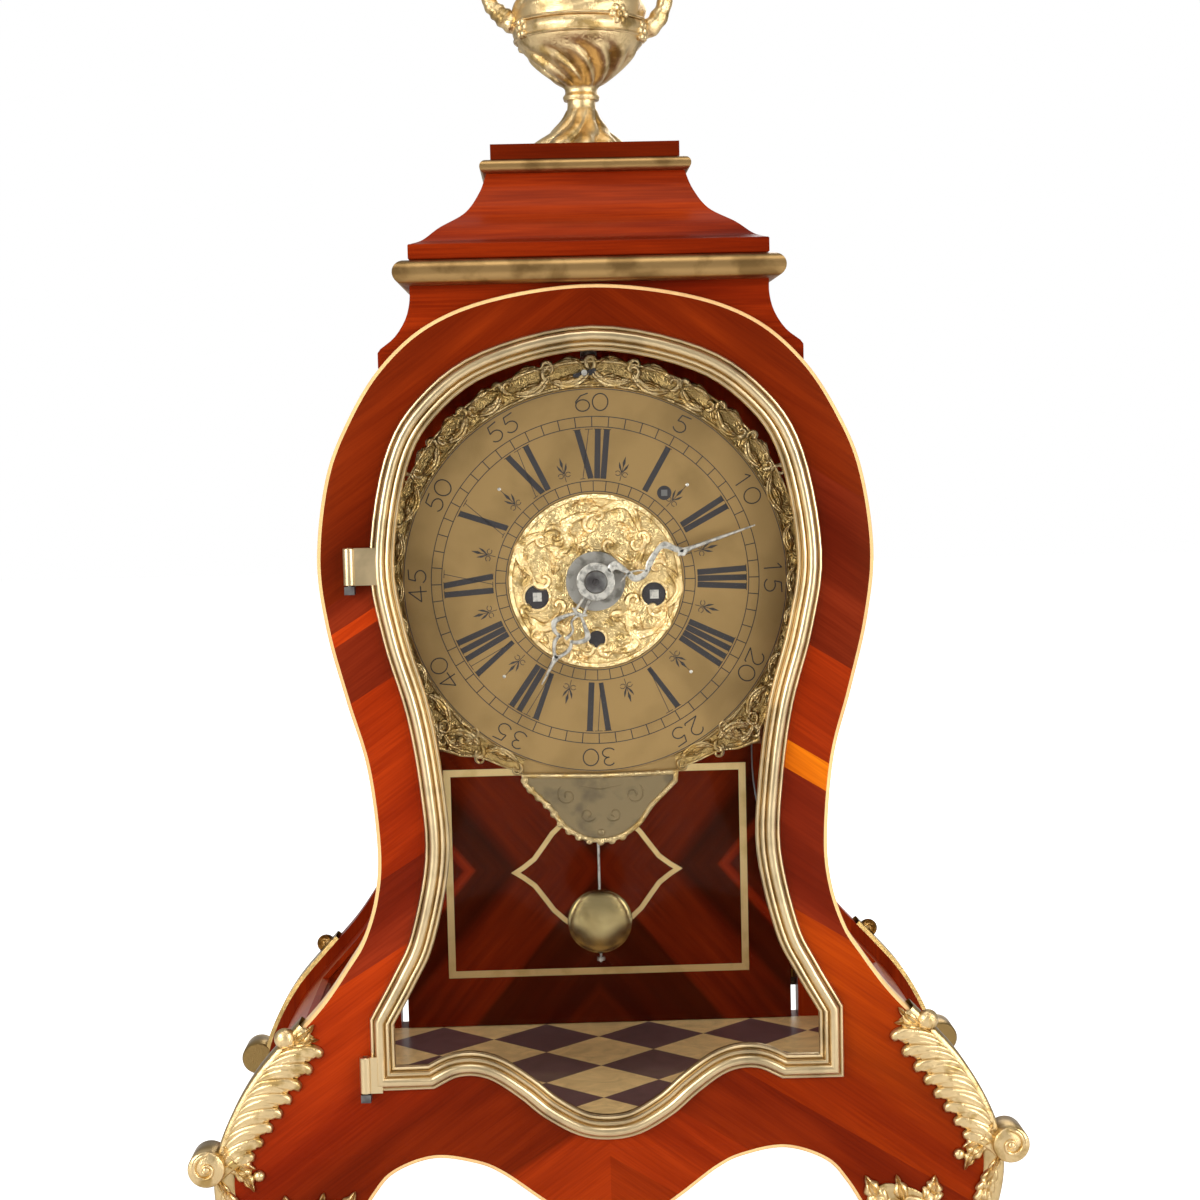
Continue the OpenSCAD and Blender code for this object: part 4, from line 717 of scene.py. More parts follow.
def metal_looks(metals):
    """What metal() is given for each metal, in its own order."""
    gilt, worn, brass = tuple(metals.gilt), tuple(metals.gilt_dark), tuple(metals.brass)
    door, steel = tuple(metals.frame), tuple(metals.steel)
    # The pair of depths after the grain depth, where given, sets where painted shade in the hollows
    # fades out
    return {
        "gilt": ("Gilding", gilt, worn, metals.gilt_roughness, 0.45, 120, 0.12, (98.5, 103.2),
                 0.12),
        "gilt_round": ("Finial gilding", gilt, shaded(worn, 0.8), 0.34, 0.5, 90, 0.1, None,
                       0.16),
        "gilt_border": ("Border gilding", shaded(gilt, 0.72), worn, 0.34, 0.5, 120, 0.1,
                        (70.3, 72.2), 0.4),
        "gilt_dial": ("Dial gilding", shaded(gilt, 1.3), worn, 0.34, 0.45, 160, 0.1,
                      (70.2, 72.4), 0.42),
        "gilt_frame": ("Door gilding", door, shaded(door, 0.72), 0.3, 0.5, 40, 0.03),
        "moulding": ("Moulding brass", (0.40, 0.245, 0.095), (0.24, 0.14, 0.05), 0.36, 0.5, 60,
                     0.06),
        "plate": ("Plate brass", (0.27, 0.20, 0.11), (0.17, 0.13, 0.08), 0.45, 0.6, 90, 0.08),
        "dial": ("Dial brass", brass, shaded(brass, 0.8), 0.42, 0.6, 30, 0.03),
        "brass": ("Movement brass", (0.62, 0.46, 0.18), (0.36, 0.25, 0.09), 0.3, 0.5, 40, 0.03),
        "inlay": ("Inlay brass", (0.92, 0.68, 0.32), (0.78, 0.56, 0.24), 0.4, 0.5, 60, 0.03),
        "steel": ("Steel", steel, shaded(steel, 0.5), 0.45, 0.6, 420, 0.2),
        "zinc": ("Zinc", (0.37, 0.345, 0.31), (0.18, 0.165, 0.14), 0.5, 0.5, 150, 0.05),
        "dark_steel": ("Dark steel", (0.24, 0.23, 0.22), (0.08, 0.07, 0.07), 0.4, 0.6, 90,
                       0.05),
        "bob": ("Bob brass", (0.50, 0.38, 0.18), (0.36, 0.26, 0.11), 0.26, 0.5, 40, 0.03),
    }


def material(key):
    """Makes a named material from the settings when it is first asked for."""
    if key in MATERIALS:
        return MATERIALS[key]
    scene = bpy.context.scene
    woods, metals = wood_looks(scene.clock_case), metal_looks(scene.clock_metal)
    if key in woods:
        mat = veneer(**woods[key])
    elif key in metals:
        mat = metal(*metals[key])
    # Black fill of the engraving, also used as painted shade in the dial holes
    elif key == "wax_and_hole_shade":
        mat = principled("Black wax", (0.022, 0.017, 0.018), 0.5)[0]
    elif key == "glass":
        mat = clear_glass("Glass")
    elif key == "parquet":
        mat = parquet("Parquet", (0.95, 0.66, 0.30), (0.155, 0.083, 0.085))
    else:
        raise KeyError(key)
    MATERIALS[key] = mat
    return mat


SLOT_LOOKS = {"veneer": "veneer", "veneer_dark": "veneer_side", "plain_wood": "plain_wood",
              "light_wood": "stringing", "gilt": "gilt", "brass": "brass", "steel": "steel",
              "glass": "glass"}
NODE_LOOKS = {"roof": "veneer_roof", "roof_cap": "veneer_cap", "hood": "veneer_roof",
              "roof_mouldings": "moulding", "back_panel": "veneer_back",
              "floor_parquet": "parquet", "back_inlay": "inlay", "hinge_pins": "dark_steel",
              "alarm_disc": "zinc", "dial_plate": "dial"}


class CLOCK_OT_frame(bpy.types.Operator):
    """Gives every CAD node its material"""
    bl_idname = "clock.frame"
    bl_label = "Frame materials"

    def execute(self, context):
        slots = {p["node"]: p["material_slot"] for p in frame["record"]["subparts"]}
        for name, obj in frame["nodes"].items():
            key = NODE_LOOKS.get(name, SLOT_LOOKS[slots[name]])
            obj.data.materials.clear()
            obj.data.materials.append(material(key))
        return {"FINISHED"}


def case_halves(steps):
    """The right half of the case outline and of the door outline, from the top clockwise."""
    outer = joined(spline(OUTER, steps), spline(APRON, steps))
    door = joined(spline(DOOR, steps), DOOR_CORNER, spline(SILL, steps))
    return outer, door


class CLOCK_OT_case(bpy.types.Operator):
    """Front board with its stringing"""
    bl_idname = "clock.case"
    bl_label = "Case front"

    def execute(self, context):
        case = context.scene.clock_case
        outer, _ = case_halves(case.curve_steps)
        opening = inset(case_halves(4)[1], 4)
        b = Builder()
        board(b, inset(outer, 1.8), opening, FRONT, FRONT_IN, case.edge * 0.2)
        b.finish("FrontBoard", "case", material("veneer"), ["front_board"])
        b = Builder()
        rings = [(1.82, FRONT_IN), (1.82, FRONT), (0.5, FRONT), (0.1, FRONT + 0.4),
                 (0, FRONT + 1.5), (0, FRONT_IN)]
        moulding(b, outer, rings)
        b.finish("EdgeStringing", "case", material("stringing"), ["edge_stringing"])
        return {"FINISHED"}


# Door

def reed(d0, d1, top, base, n):
    """Profile of a reed between two insets, that rises from depth base to depth top."""
    return [(d0 + (d1 - d0) * (1 - math.cos(a)) / 2, base - (base - top) * math.sin(a))
            for a in np.linspace(0, math.pi, n)]


class CLOCK_OT_door(bpy.types.Operator):
    """Gilt door frame with its reeds, glass bead and hinge knuckles"""
    bl_idname = "clock.door"
    bl_label = "Door"

    def execute(self, context):
        _, door = case_halves(5)
        y0, y1 = FRONT - 7, FRONT - 0.3
        profile = ([(0, y1), (0, y1 - 1.6)] + reed(0.2, 2.2, y1 - 3.4, y1 - 2.2, 7)
                   + reed(2.5, 7.6, y0, y1 - 4.0, 11) + reed(7.9, 10.2, y0 + 1.6, y0 + 3.0, 7)
                   + reed(10.4, 12.2, y1 - 2.6, y1 - 1.6, 6) + [(12.5, y1 - 1.2), (12.5, y1)]
                   + [(7.0, y1), (7.0, FRONT + 6), (4.5, FRONT + 6), (4.5, y1)])
        b = Builder()
        moulding(b, door, profile)
        for z, edge in ((123.2, 114), (380, 108)):
            lathe(b, [(1.3, 0), (2.7, 0), (3, 0.3), (3, KNUCKLE - 0.3), (2.7, KNUCKLE),
                      (1.3, KNUCKLE), (1.3, 0)], (HINGE_X, FRONT - 5, z), steps=32)
            b.box((HINGE_X + 2.2, -edge), (FRONT - 6.4, FRONT - 2.8), (z, z + KNUCKLE))
        b.finish("DoorFrame", "front_door", material("gilt_frame"), ["door_frame"])
        return {"FINISHED"}


# Dial

def dial_point(radius, angle):
    """XZ point at a radius from the dial centre, with the angle clockwise from twelve."""
    a = math.radians(angle)
    return np.array([radius * math.sin(a), DIAL_Z + radius * math.cos(a)])


def from_dial(points):
    """XZ points given from the dial centre."""
    return np.array(points, float) + [0, DIAL_Z]


def stroke(b, p, q, w0, w1, y):
    """A flat four-sided stroke from p to q, w0 wide at p and w1 wide at q."""
    p, q = np.array(p, float), np.array(q, float)
    d = (q - p) / np.hypot(*(q - p))
    s = np.array([d[1], -d[0]])
    pts = [p - s * w0 / 2, p + s * w0 / 2, q + s * w1 / 2, q - s * w1 / 2]
    b.add([(x, y, z) for x, z in pts], [(0, 1, 2, 3)])


def ring_line(b, radius, width, y):
    """A thin flat ring round the dial centre."""
    b.grid([at_depth(arc_points(0, DIAL_Z, r, r, 0, 358, 180), y)
            for r in (radius - width / 2, radius + width / 2)], close_v=True)


def roman(b, text, angle, r0, r1, y):
    """A Roman numeral whose foot is at r0 and head at r1. Thick and thin strokes run
    straight between the two serifs, which follow the circle."""
    widths = {"I": 3.9, "V": 8.0, "X": 9.0}
    thick, thin, serif = 3.0, 0.35, 0.35
    total = sum(widths[c] for c in text)

    def at(u, v):
        return dial_point(r0 + (r1 - r0) * v, angle + math.degrees(u / ((r0 + r1) / 2)))

    u = -total / 2
    for c in text:
        w = widths[c]
        m = u + w / 2
        if c == "I":
            stroke(b, at(m, 0), at(m, 1), thick, thick, y)
        elif c == "V":
            stroke(b, at(m, 0), at(u + 1.9, 1), thick * 0.8, thick, y)
            stroke(b, at(m, 0), at(u + w - 1.7, 1), thin, thin, y)
        else:
            stroke(b, at(u + w - 2, 0), at(u + 2, 1), thick, thick, y)
            stroke(b, at(u + 2, 0), at(u + w - 2, 1), thin, thin, y)
        for v in (0, 1):
            if c == "V" and v == 0:
                continue
            if c == "I":
                stroke(b, at(u + 0.2, v), at(u + w - 0.2, v), serif, serif, y)
            else:
                for e in (u + 1.9, u + w - 1.9):
                    stroke(b, at(e - 1.7, v), at(e + 1.7, v), serif, serif, y)
        u += w


DIGITS = {
    "0": [arc_points(0.5, 0.5, 0.42, 0.46, 0, 360, 25)],
    "1": [[(0.28, 0.78), (0.5, 0.98), (0.5, 0.02)]],
    "2": [joined(arc_points(0.47, 0.68, 0.33, 0.3, 165, -40, 10), (0.1, 0.04), (0.88, 0.06),
                 (0.92, 0.16))],
    "3": [arc_points(0.46, 0.74, 0.28, 0.23, 150, -90, 10),
          arc_points(0.46, 0.27, 0.36, 0.26, 90, -150, 12)],
    "4": [[(0.62, 0.0), (0.62, 0.98), (0.06, 0.32), (0.92, 0.32)]],
    "5": [joined((0.84, 1.0), (0.34, 0.94), (0.26, 0.58),
                 arc_points(0.48, 0.32, 0.36, 0.3, 118, -150, 14))],
    "6": [joined((0.8, 0.98), (0.42, 0.86), (0.14, 0.56),
                 arc_points(0.5, 0.33, 0.38, 0.31, 160, 520, 20))],
}


def arabic(b, text, angle, r0, height, y):
    """Engraved minute numerals: polylines of even width, with their tops outward."""
    pitch, width, overlap = 0.96 * height, 0.62, 0.12
    for i, c in enumerate(text):
        offset = (i - (len(text) - 1) / 2) * pitch
        for line in DIGITS[c]:
            turns = [(offset + (u - 0.5) * height) / (r0 + height / 2) for u, _ in line]
            pts = [dial_point(r0 + v * height, angle + math.degrees(turn))
                   for turn, (_, v) in zip(turns, line)]
            for p, q in zip(pts[:-1], pts[1:]):
                run = (q - p) / np.hypot(*(q - p)) * overlap
                stroke(b, p - run, q + run, width, width, y)


class CLOCK_OT_dial(bpy.types.Operator):
    """Chapter ring with engraved numerals, cast border, centre disc and cartouche"""
    bl_idname = "clock.dial"
    bl_label = "Dial"

    def execute(self, context):
        self.ring()
        self.numerals()
        self.border()
        self.centre()
        self.cartouche()
        return {"FINISHED"}

    def ring(self):
        b = Builder()
        y0, y1 = DIAL_Y - 1.5, DIAL_Y
        profile = [(44.8, -y1), (44.8, -y0 - 0.2), (45, -y0), (98.6, -y0), (98.8, -y0 - 0.2),
                   (98.8, -y1)]
        lathe(b, profile, (0, 0, DIAL_Z), "y", 256)
        b.finish("ChapterRing", "case", material("dial"), ["chapter_ring"])
        b = Builder()
        for a in (45, 135, 225, 315):
            blob(b, dial_point(68, a), 0.9, 0.35, y0, 12)
        b.finish("RingRivets", "case", material("steel"))
        # Painted shade: black sheets stand for the dark inside of the regulator hole and of the
        # slot above the chapter ring
        b = Builder()
        b.cap([arc_points(*REGULATOR, 3.7, 3.7, 0, 345, 24)], y0 - 0.05)
        slot = from_dial([(-9.2, 103.0), (-9.0, 105.6), (2.6, 108.6), (2.8, 105.6)])
        b.cap([slot], DIAL_Y - 2.0)
        b.finish("DialHoleShade", "case", material("wax_and_hole_shade"))
        b = Builder()
        (x, z), half = REGULATOR, 1.6
        b.cap([[(x - half, z - half), (x + half, z - half), (x + half, z + half),
                (x - half, z + half)]], y0 - 0.25)
        b.finish("RegulatorSquare", "case", material("dark_steel"))

    def numerals(self):
        y = DIAL_Y - 1.53
        b = Builder()
        minutes, quarters = (78.7, 84.0), (45.9, 51.2)
        for radius in (98.0, *minutes[::-1], *quarters[::-1]):
            ring_line(b, radius, 0.45, y)
        for count, (r0, r1), width in ((60, minutes, 0.5), (48, quarters, 0.45)):
            for i in range(count):
                angle = i * 360 / count
                stroke(b, dial_point(r0, angle), dial_point(r1, angle), width, width, y)
        names = ["XII", "I", "II", "III", "IIII", "V", "VI", "VII", "VIII", "IX", "X", "XI"]
        for i, text in enumerate(names):
            roman(b, text, i * 30, 52.6, 77.6, y)
            arabic(b, str(i * 5 or 60), i * 30, 86.6, 9.4, y)
            self.sprig(b, i * 30 + 15, y, 0.4 if (i % 3) == 1 else 0)
        b.finish("DialEngraving", "case", material("wax_and_hole_shade"))

    def sprig(self, b, angle, y, stem):
        """A small flower between two hours: a spear whose tip points outwards, two side
        leaves and two loops, and on some a stem that ends at a rivet."""
        turn = math.radians(angle)

        def at(u, v):
            return dial_point(52.6 + v, angle) + u * np.array([math.cos(turn), -math.sin(turn)])

        stroke(b, at(0, 0), at(0, 8.5), 0.35, 0.35, y)
        stroke(b, at(0, 7.4), at(0, 9.4), 0.4, 1.5, y)
        stroke(b, at(0, 9.4), at(0, 12.6), 1.5, 0.2, y)
        for side in (-1, 1):
            stroke(b, at(0, 4.2), at(1.7 * side, 7.2), 0.35, 1.1, y)
            stroke(b, at(1.7 * side, 7.2), at(2.5 * side, 9.4), 1.1, 0.15, y)
            loop = arc_points(1.9 * side, 3.6, 1.35, 1.2, 90 - 80 * side, 90 + 230 * side, 10)
            pts = [at(u, v) for u, v in loop]
            for p, q in zip(pts[:-1], pts[1:]):
                stroke(b, p, q, 0.38, 0.38, y)
        if stem:
            stroke(b, at(0, 12.6), at(0, 15), 0.3, 0.3, y)

    def border(self):
        b = Builder()
        radius, lift = 106.2, 6.5
        outer = joined(arc_points(0, DIAL_Z + lift, radius, radius, 90, -18, 37),
                       spline(from_dial([(97, -40), (90, -58), (85, -74), (83, -85)]), 3),
                       spline(from_dial([(72, -89), (62, -90), (50, -95), (41, -98)]), 3))
        a = np.array([math.atan2(p[1] - DIAL_Z, p[0]) for p in outer])
        inner = from_dial(99.0 * np.column_stack([np.cos(a), np.sin(a)]))

        def place(i, f):
            """Point at share f of the way inwards from point i of the outer edge."""
            return outer[i] + (inner[i] - outer[i]) * f

        section = ((0, 0), (0, 1.6), (0.04, 1.9), (0.09, 1.7), (0.12, 0.5), (0.88, 0.5),
                   (0.92, 1.5), (0.97, 1.6), (1, 1.2), (1, 0))
        b.grid([at_depth(outer + (inner - outer) * f, DIAL_Y - height)
                for f, height in section])
        arc = arc_lengths((outer + inner) / 2)
        count, y = 13, DIAL_Y - 0.5
        for k in range(count):
            s0, s1 = (arc[-1] * (k + e) / count for e in (0.06, 0.86))
            i0, i1 = (int(round(i)) for i in np.interp([s0, s1], arc, np.arange(len(outer))))
            middle = (i0 + i1) // 2
            width = np.hypot(*(place(middle, 1) - place(middle, 0)))
            size = min(3.4, max(1.9, width * 0.27))
            c_scroll(b, place(i0, 0.36), place(i1, 0.6), -0.2, size, 2.0, y, 0.42)
            leaf(b, place(i0, 0.74), place(i1, 0.78), min(5.0, width * 0.5), 1.7, y, 0.1, 3)
            if width > 11:
                leaf(b, place(i1, 0.15), place(i0, 0.3), width * 0.35, 1.6, y, -0.2, 3)
        c_scroll(b, (80, 301), (66, 297), 0.4, 2.4, 2.0, DIAL_Y - 0.6, 0.55)
        leaf(b, (79, 295), (60, 300), 7, 1.9, DIAL_Y - 0.6, 0.1, 4)
        leaf(b, (81, 296), (87, 316), 6, 1.9, DIAL_Y - 0.6, -0.1, 4)
        b.mirror(-1, 1, 1)
        b.finish("DialBorder", "case", material("gilt_border"), ["dial_border"])

    def centre(self):
        b = Builder()
        y0 = DIAL_Y - 1.2
        lathe(b, [(44.5, -DIAL_Y), (44.5, -y0 + 0.7), (43.8, -y0 + 0.8), (42.6, -y0 + 0.7),
                  (42.2, -y0), (5, -y0), (5, -DIAL_Y)], (0, 0, DIAL_Z), "y", 128)
        holes = [(-30.2, -7.6, 6.2), (29.8, -7.6, 6.2), (0, -30, 4.4)]
        for x, z, r in holes:
            lathe(b, [(r, 0), (r, 0.9), (r + 0.5, 1.1), (r + 1.1, 0.9), (r + 1.3, 0)],
                  (x, y0, DIAL_Z + z), "y", 32)
        spread, scroll_size, leaf_size = 0.94, 1.45, 1.35
        scrolls = (((-9, 17), (-3, 37), 0.5, 2.6), ((1, 36), (25, 26), 0.42, 2.4),
                   ((9, 15), (27, 19), -0.5, 2.2), ((-34, 3), (-27, 27), 0.45, 2.6),
                   ((-14, 28), (-27, 20), 0.5, 2.4), ((-37, -19), (-20, -17), -0.4, 2.6),
                   ((-15, -37), (-30, -26), -0.4, 2.2), ((8, -39), (15, -22), -0.55, 2.6),
                   ((34, -27), (18, -15), 0.5, 2.6), ((39, 6), (37, -16), 0.35, 2.2),
                   ((-14, -20), (-9, -38), -0.3, 2.2))
        for start, end, bulge, size in scrolls:
            ends = (from_dial(spread * np.array(point)) for point in (start, end))
            c_scroll(b, *ends, bulge, scroll_size * size, 1.5, y0, 0.5)
        leaves = (((-9, 14), (-2, 28), 6), ((13, 32), (19, 20), 6), ((-23, 4), (-14, 20), 7),
                  ((-38.5, 2), (-36, 16), 4), ((-27, -34), (-33, -20), 6),
                  ((7, -20), (26, -27), 7), ((38, -12), (28, -31), 6), ((27, 3), (20, 14), 6),
                  ((-20, -19), (-25, -37), 6), ((37, 21), (30, 8), 6), ((-12, 41), (2, 42), 4),
                  ((-3, -41), (-16, -40), 4))
        for base, tip, width in leaves:
            ends = (from_dial(spread * np.array(point)) for point in (base, tip))
            leaf(b, *ends, leaf_size * width, 1.3, y0, 0.18, 4)
        b.finish("CentreDisc", "case", material("gilt_dial"), ["centre_disc"])
        # Painted shade: black discs inside the rims stand for the dark insides of the winding
        # holes, which are not cut
        b = Builder()
        for x, z, r in holes:
            r -= 0.05
            b.cap([arc_points(x, DIAL_Z + z, r, r, 0, 348.75, 32)], y0 - 0.05)
        b.finish("WindingHoleShade", "case", material("wax_and_hole_shade"))

    def cartouche(self):
        b = Builder()
        half = from_dial(joined((0, -99.6), (40.7, -98.6), spline(
            [(39.9, -105), (33, -112), (27, -118), (20, -127.5), (10, -134), (0, -135.8)], 4)))
        profile = [(0, DIAL_Y), (0, DIAL_Y - 2.0), (0.5, DIAL_Y - 2.7), (1.3, DIAL_Y - 2.9),
                   (2.2, DIAL_Y - 2.4), (2.6, DIAL_Y - 1.4)]
        b.grid([at_depth(both(inset(half, d)), y) for d, y in profile], close_v=True)
        rim = both(half)
        arc = arc_lengths(rim)
        for s in np.arange(88, arc[-1] - 2, 6.0):
            p = point_at(s, arc, rim)
            if p[1] < DIAL_Z - 102:
                blob(b, p * [0.97, 1] + [0, 0.6], 2.1, 1.2, DIAL_Y - 1.7)
        b.finish("CartoucheRim", "case", material("gilt_border"), ["cartouche"])
        b = Builder()
        y = DIAL_Y - 1.5
        b.cap([both(inset(half, 2.4))], y)
        for sign in (1, -1):
            for scroll in (spiral((17, -111), 6, 1.4, 60, -1.3),
                           spiral((7, -121), 4.5, 1.2, 200, 1.2)):
                ridge(b, from_dial(scroll * [sign, 1]), 0.8, 0.35, y, 5)
        ridge(b, from_dial([(-11, -106), (0, -108), (11, -106)]), 0.8, 0.35, y, 5)
        blob(b, (0, DIAL_Z - 130.5), 1.9, 0.9, y, 16)
        b.finish("CartouchePlate", "case", material("plate"))


def hand(b, strips, angle, y, thickness, hub):
    """A flat pierced hand: each strip is a path of (distance, sideways) points and a list of
    widths. All of them are turned clockwise from twelve by the angle, on a round hub."""
    c, s = math.cos(angle), math.sin(angle)
    for path, widths in strips:
        turned = [(t * c + r * s, DIAL_Z + r * c - t * s) for r, t in path]
        ribbon(b, turned, widths, y, thickness)
    lathe(b, [(0, 0), (hub, 0), (hub, thickness * 0.7), (hub - 0.4, thickness), (0, thickness)],
          (0, y, DIAL_Z), "y", 48)


class CLOCK_OT_hands(bpy.types.Operator):
    """Pierced steel hands and their collet"""
    bl_idname = "clock.hands"
    bl_label = "Hands"

    def execute(self, context):
        dial = context.scene.clock_dial
        hour_y = DIAL_Y - 6.4
        minute_y = hour_y - 2.6
        b = Builder()
        n = dial.minute_length
        hand(b, [([(8, -3), (0.14 * n, -4.6), (0.19 * n, 0), (0.22 * n, 4.8), (0.27 * n, 5.2),
                   (0.31 * n, 3.4)], [3.2, 4.4, 2.4, 3.4, 3.2, 2.6]),
                 ([(0.31 * n, 3.6), (0.34 * n, 0), (0.41 * n, -4.8), (0.46 * n, -5.8),
                   (0.51 * n, -2), (0.55 * n, 0)], [2.6, 3.4, 2.6, 3.6, 3.0, 2.8]),
                 ([(0.14 * n, 4), (0.2 * n, 1.5), (0.26 * n, 1.8), (0.31 * n, 3.6)],
                  [0.9, 1.4, 1.0, 1.2]),
                 ([(0.51 * n, 1.6), (0.54 * n, 0.6), (0.6 * n, 0), (0.8 * n, 0), (n, 0)],
                  [1.0, 4.4, 2.2, 1.7, 0.7])],
             dial.minute_angle, minute_y, 1.0, 9.8)
        b.finish("MinuteHand", "minute_train", material("steel"), ["minute_hand"])
        b = Builder()
        n = dial.hour_length
        loop, tip = [1.4, 2.0, 3.0, 2.2, 1.6], [1.6, 2.2, 1.8, 2.2]
        hand(b, [([(5, -1.8), (0.2 * n, -1.8), (0.3 * n, -2.4)], [1.8, 1.4, 1.6]),
                 ([(5, 1.8), (0.2 * n, 1.8), (0.3 * n, 2.4)], [1.8, 1.4, 1.6]),
                 ([(0.29 * n, -4.2), (0.32 * n, 0), (0.29 * n, 4.2)], [1.2, 2.8, 1.2]),
                 ([(0.32 * n, 1.5), (0.38 * n, 5.4), (0.47 * n, 9.0), (0.54 * n, 6.8),
                   (0.56 * n, 2.6)], loop),
                 ([(0.32 * n, -1.5), (0.38 * n, -5.4), (0.46 * n, -9.6), (0.53 * n, -6.8),
                   (0.56 * n, -2.6)], loop),
                 ([(0.32 * n, 0), (0.4 * n, 1.4), (0.47 * n, -1.4), (0.56 * n, 0)],
                  [1.6, 1.3, 1.3, 2.2]),
                 ([(0.55 * n, -3.4), (0.62 * n, -4.2), (0.7 * n, -2.2), (0.74 * n, 0)], tip),
                 ([(0.55 * n, 3.4), (0.62 * n, 4.2), (0.7 * n, 2.2), (0.74 * n, 0)], tip),
                 ([(0.72 * n, 0), (0.8 * n, 0), (0.9 * n, 0), (n, 0)], [3.6, 2.0, 1.4, 0.6])],
             dial.hour_angle, hour_y, 1.0, 7.0)
        b.finish("HourHand", "hour_train", material("steel"), ["hour_hand"])
        b = Builder()
        y = minute_y - 1.0
        lathe(b, [(0, 0), (6, 0), (6, 0.6), (5.4, 1.3), (1.6, 1.6), (1.4, 2.2), (0, 2.3)],
              (0, y, DIAL_Z), "y", 40)
        b.finish("HandCollet", "minute_train", material("dark_steel"), ["hand_collet"])
        return {"FINISHED"}


# Gilt mounts

def knee_mount(b):
    """Slanting leaves that rise inwards from the edge of the board round the knee, on a band
    that wraps the edge. A rosette ends them above and a volute stands out below."""
    curve = spline(OUTER, 16)
    curve = curve[(curve[:, 1] > 36) & (curve[:, 1] < 158)]
    normals = inset(curve, 1.0) - curve
    b.grid(np.stack([at_depth(curve - normals * out, y) for out, y in (
        (0.0, FRONT_IN), (2.4, FRONT_IN - 0.6), (2.4, FRONT - 0.6), (1.2, FRONT - 1.9),
        (-2.0, FRONT - 2.0), (-7.0, FRONT - 0.9), (-8.0, FRONT))], 1))
    arc = arc_lengths(curve)

    def at(s, d):
        """Point at arc length s from the top of the band and d inwards from the edge."""
        return point_at(s, arc, curve) + d * point_at(s, arc, normals)

    for k in range(15):
        s = 4 + 5.1 * k
        reach = (21 if k % 2 == 0 else 16.5) * (0.74 + 0.26 * math.sin(math.pi * (k + 2) / 17))
        path = [at(s + 19, 0.2), at(s + 12, 2.8), at(s + 5, 0.5 * reach),
                at(s + 1.2, 0.82 * reach), at(s + 2.4, reach)]
        ridge(b, free_spline(path, 7), lambda t: 1.7 + 6.0 * np.sin(math.pi * t**1.3) ** 0.8,
              lambda t: 1.2 + 2.6 * np.sin(math.pi * t**1.1), FRONT - 0.4, 9, groove=0.22)
    centre = np.array([204.5, 86.0])
    lathe(b, [(0, -14), (8.6, -14), (9.4, -13), (9.4, 5), (8.6, 5.8), (0, 5.8)],
          (centre[0], FRONT, centre[1]), "y", 40)
    ridge(b, spiral(centre, 8.2, 1.4, 100, -1.5, 60), lambda q: 2.6 - 1.3 * q, 1.6,
          FRONT - 5.6, 7)
    blob(b, centre, 2.2, 1.6, FRONT - 5.6)
    leaf(b, (196, 97), (180, 84), 10, 3.0, FRONT - 0.8, 0.1, 3)
    leaf(b, (196, 88), (181, 72), 9, 2.8, FRONT - 0.6, -0.12, 3)
    leaf(b, (199, 80), (190, 40), 11, 3.0, FRONT - 0.8, -0.08, 6)
    blob(b, (178.5, 80.5), 3.0, 2.8, FRONT - 0.4, 18)
    leaf(b, (167, 146), (148, 158), 9, 2.6, FRONT - 0.6, 0.1, 2)
    leaf(b, (166, 144), (146, 150), 8, 2.6, FRONT - 0.6, -0.1, 2)
    blob(b, (163, 151), 5.6, 4.2, FRONT - 0.4, 24)
    for k in range(5):
        ridge(b, spiral((163, 151), 4.6, 1.2, 72 * k, 0.3, 12), 1.1, 0.9, FRONT - 3.2, 5)


def foot_mount(b):
    """A pair of leaves over a scroll on the front of the foot, and a base plate."""
    outline = spline([(148, 0.5), (146, 16), (139, 34), (132, 48), (131, 58), (139, 66), (148, 65),
                      (157, 62), (166, 53), (172, 38), (176, 20), (181, 9), (181, 0.5)], 6)
    mid = np.array([155, 30])
    b.grid([at_depth(mid + (outline - mid) * f, FRONT - h) for f, h in (
        (1.0, 0.0), (1.0, 1.4), (0.93, 2.0), (0.86, 1.4), (0.5, 1.8), (0.05, 2.4))],
        close_v=True)
    leaf(b, (147, 50), (130, 71), 12, 3.2, FRONT - 0.8, 0.08, 3)
    leaf(b, (158, 50), (166, 70), 12, 3.2, FRONT - 0.8, -0.1, 3)
    leaf(b, (152, 48), (146, 71), 9, 3.0, FRONT - 0.8, 0.0, 2)
    ridge(b, spiral((152, 50), 10.5, 1.6, 20, 1.4, 60), lambda q: 4.2 - 2.0 * q, 2.4,
          FRONT - 1.2, 9)
    leaf(b, (160, 42), (170, 8), 15, 2.6, FRONT - 1.4, 0.08, 5)
    lathe(b, [(0, -16), (8.4, -16), (9, -15), (9, 4), (8.2, 5), (0, 5)], (183, FRONT, 9.1), "y", 36)
    ridge(b, spiral((183, 9.1), 7.4, 1.2, 80, -1.5, 50), 2.0, 1.2, FRONT - 4.9, 5)
    b.box((148, 180), (FRONT - 4, FRONT_IN), (0, 4))


class CLOCK_OT_mounts(bpy.types.Operator):
    """Gilt mounts on the knees and the feet"""
    bl_idname = "clock.mounts"
    bl_label = "Gilt mounts"

    def execute(self, context):
        for name, make, cad in (("KneeMounts", knee_mount, "knee_mounts"),
                                ("FootMounts", foot_mount, "foot_mounts")):
            b = Builder()
            make(b)
            b.mirror(-1, 1, 1)
            b.mirror(1, -1, 1)
            b.finish(name, "case", material("gilt"), [cad], 50)
        return {"FINISHED"}


# Roof

def four_sided(b, profile, extra):
    """A profile of (half width, height) carried round a rectangle that is deeper than it is
    wide by extra on each side."""
    rows = []
    for w, z in profile:
        d = w + extra
        rows.append([(-w, -d, z), (w, -d, z), (w, d, z), (-w, d, z)])
    b.grid(np.array(rows), close_v=True)


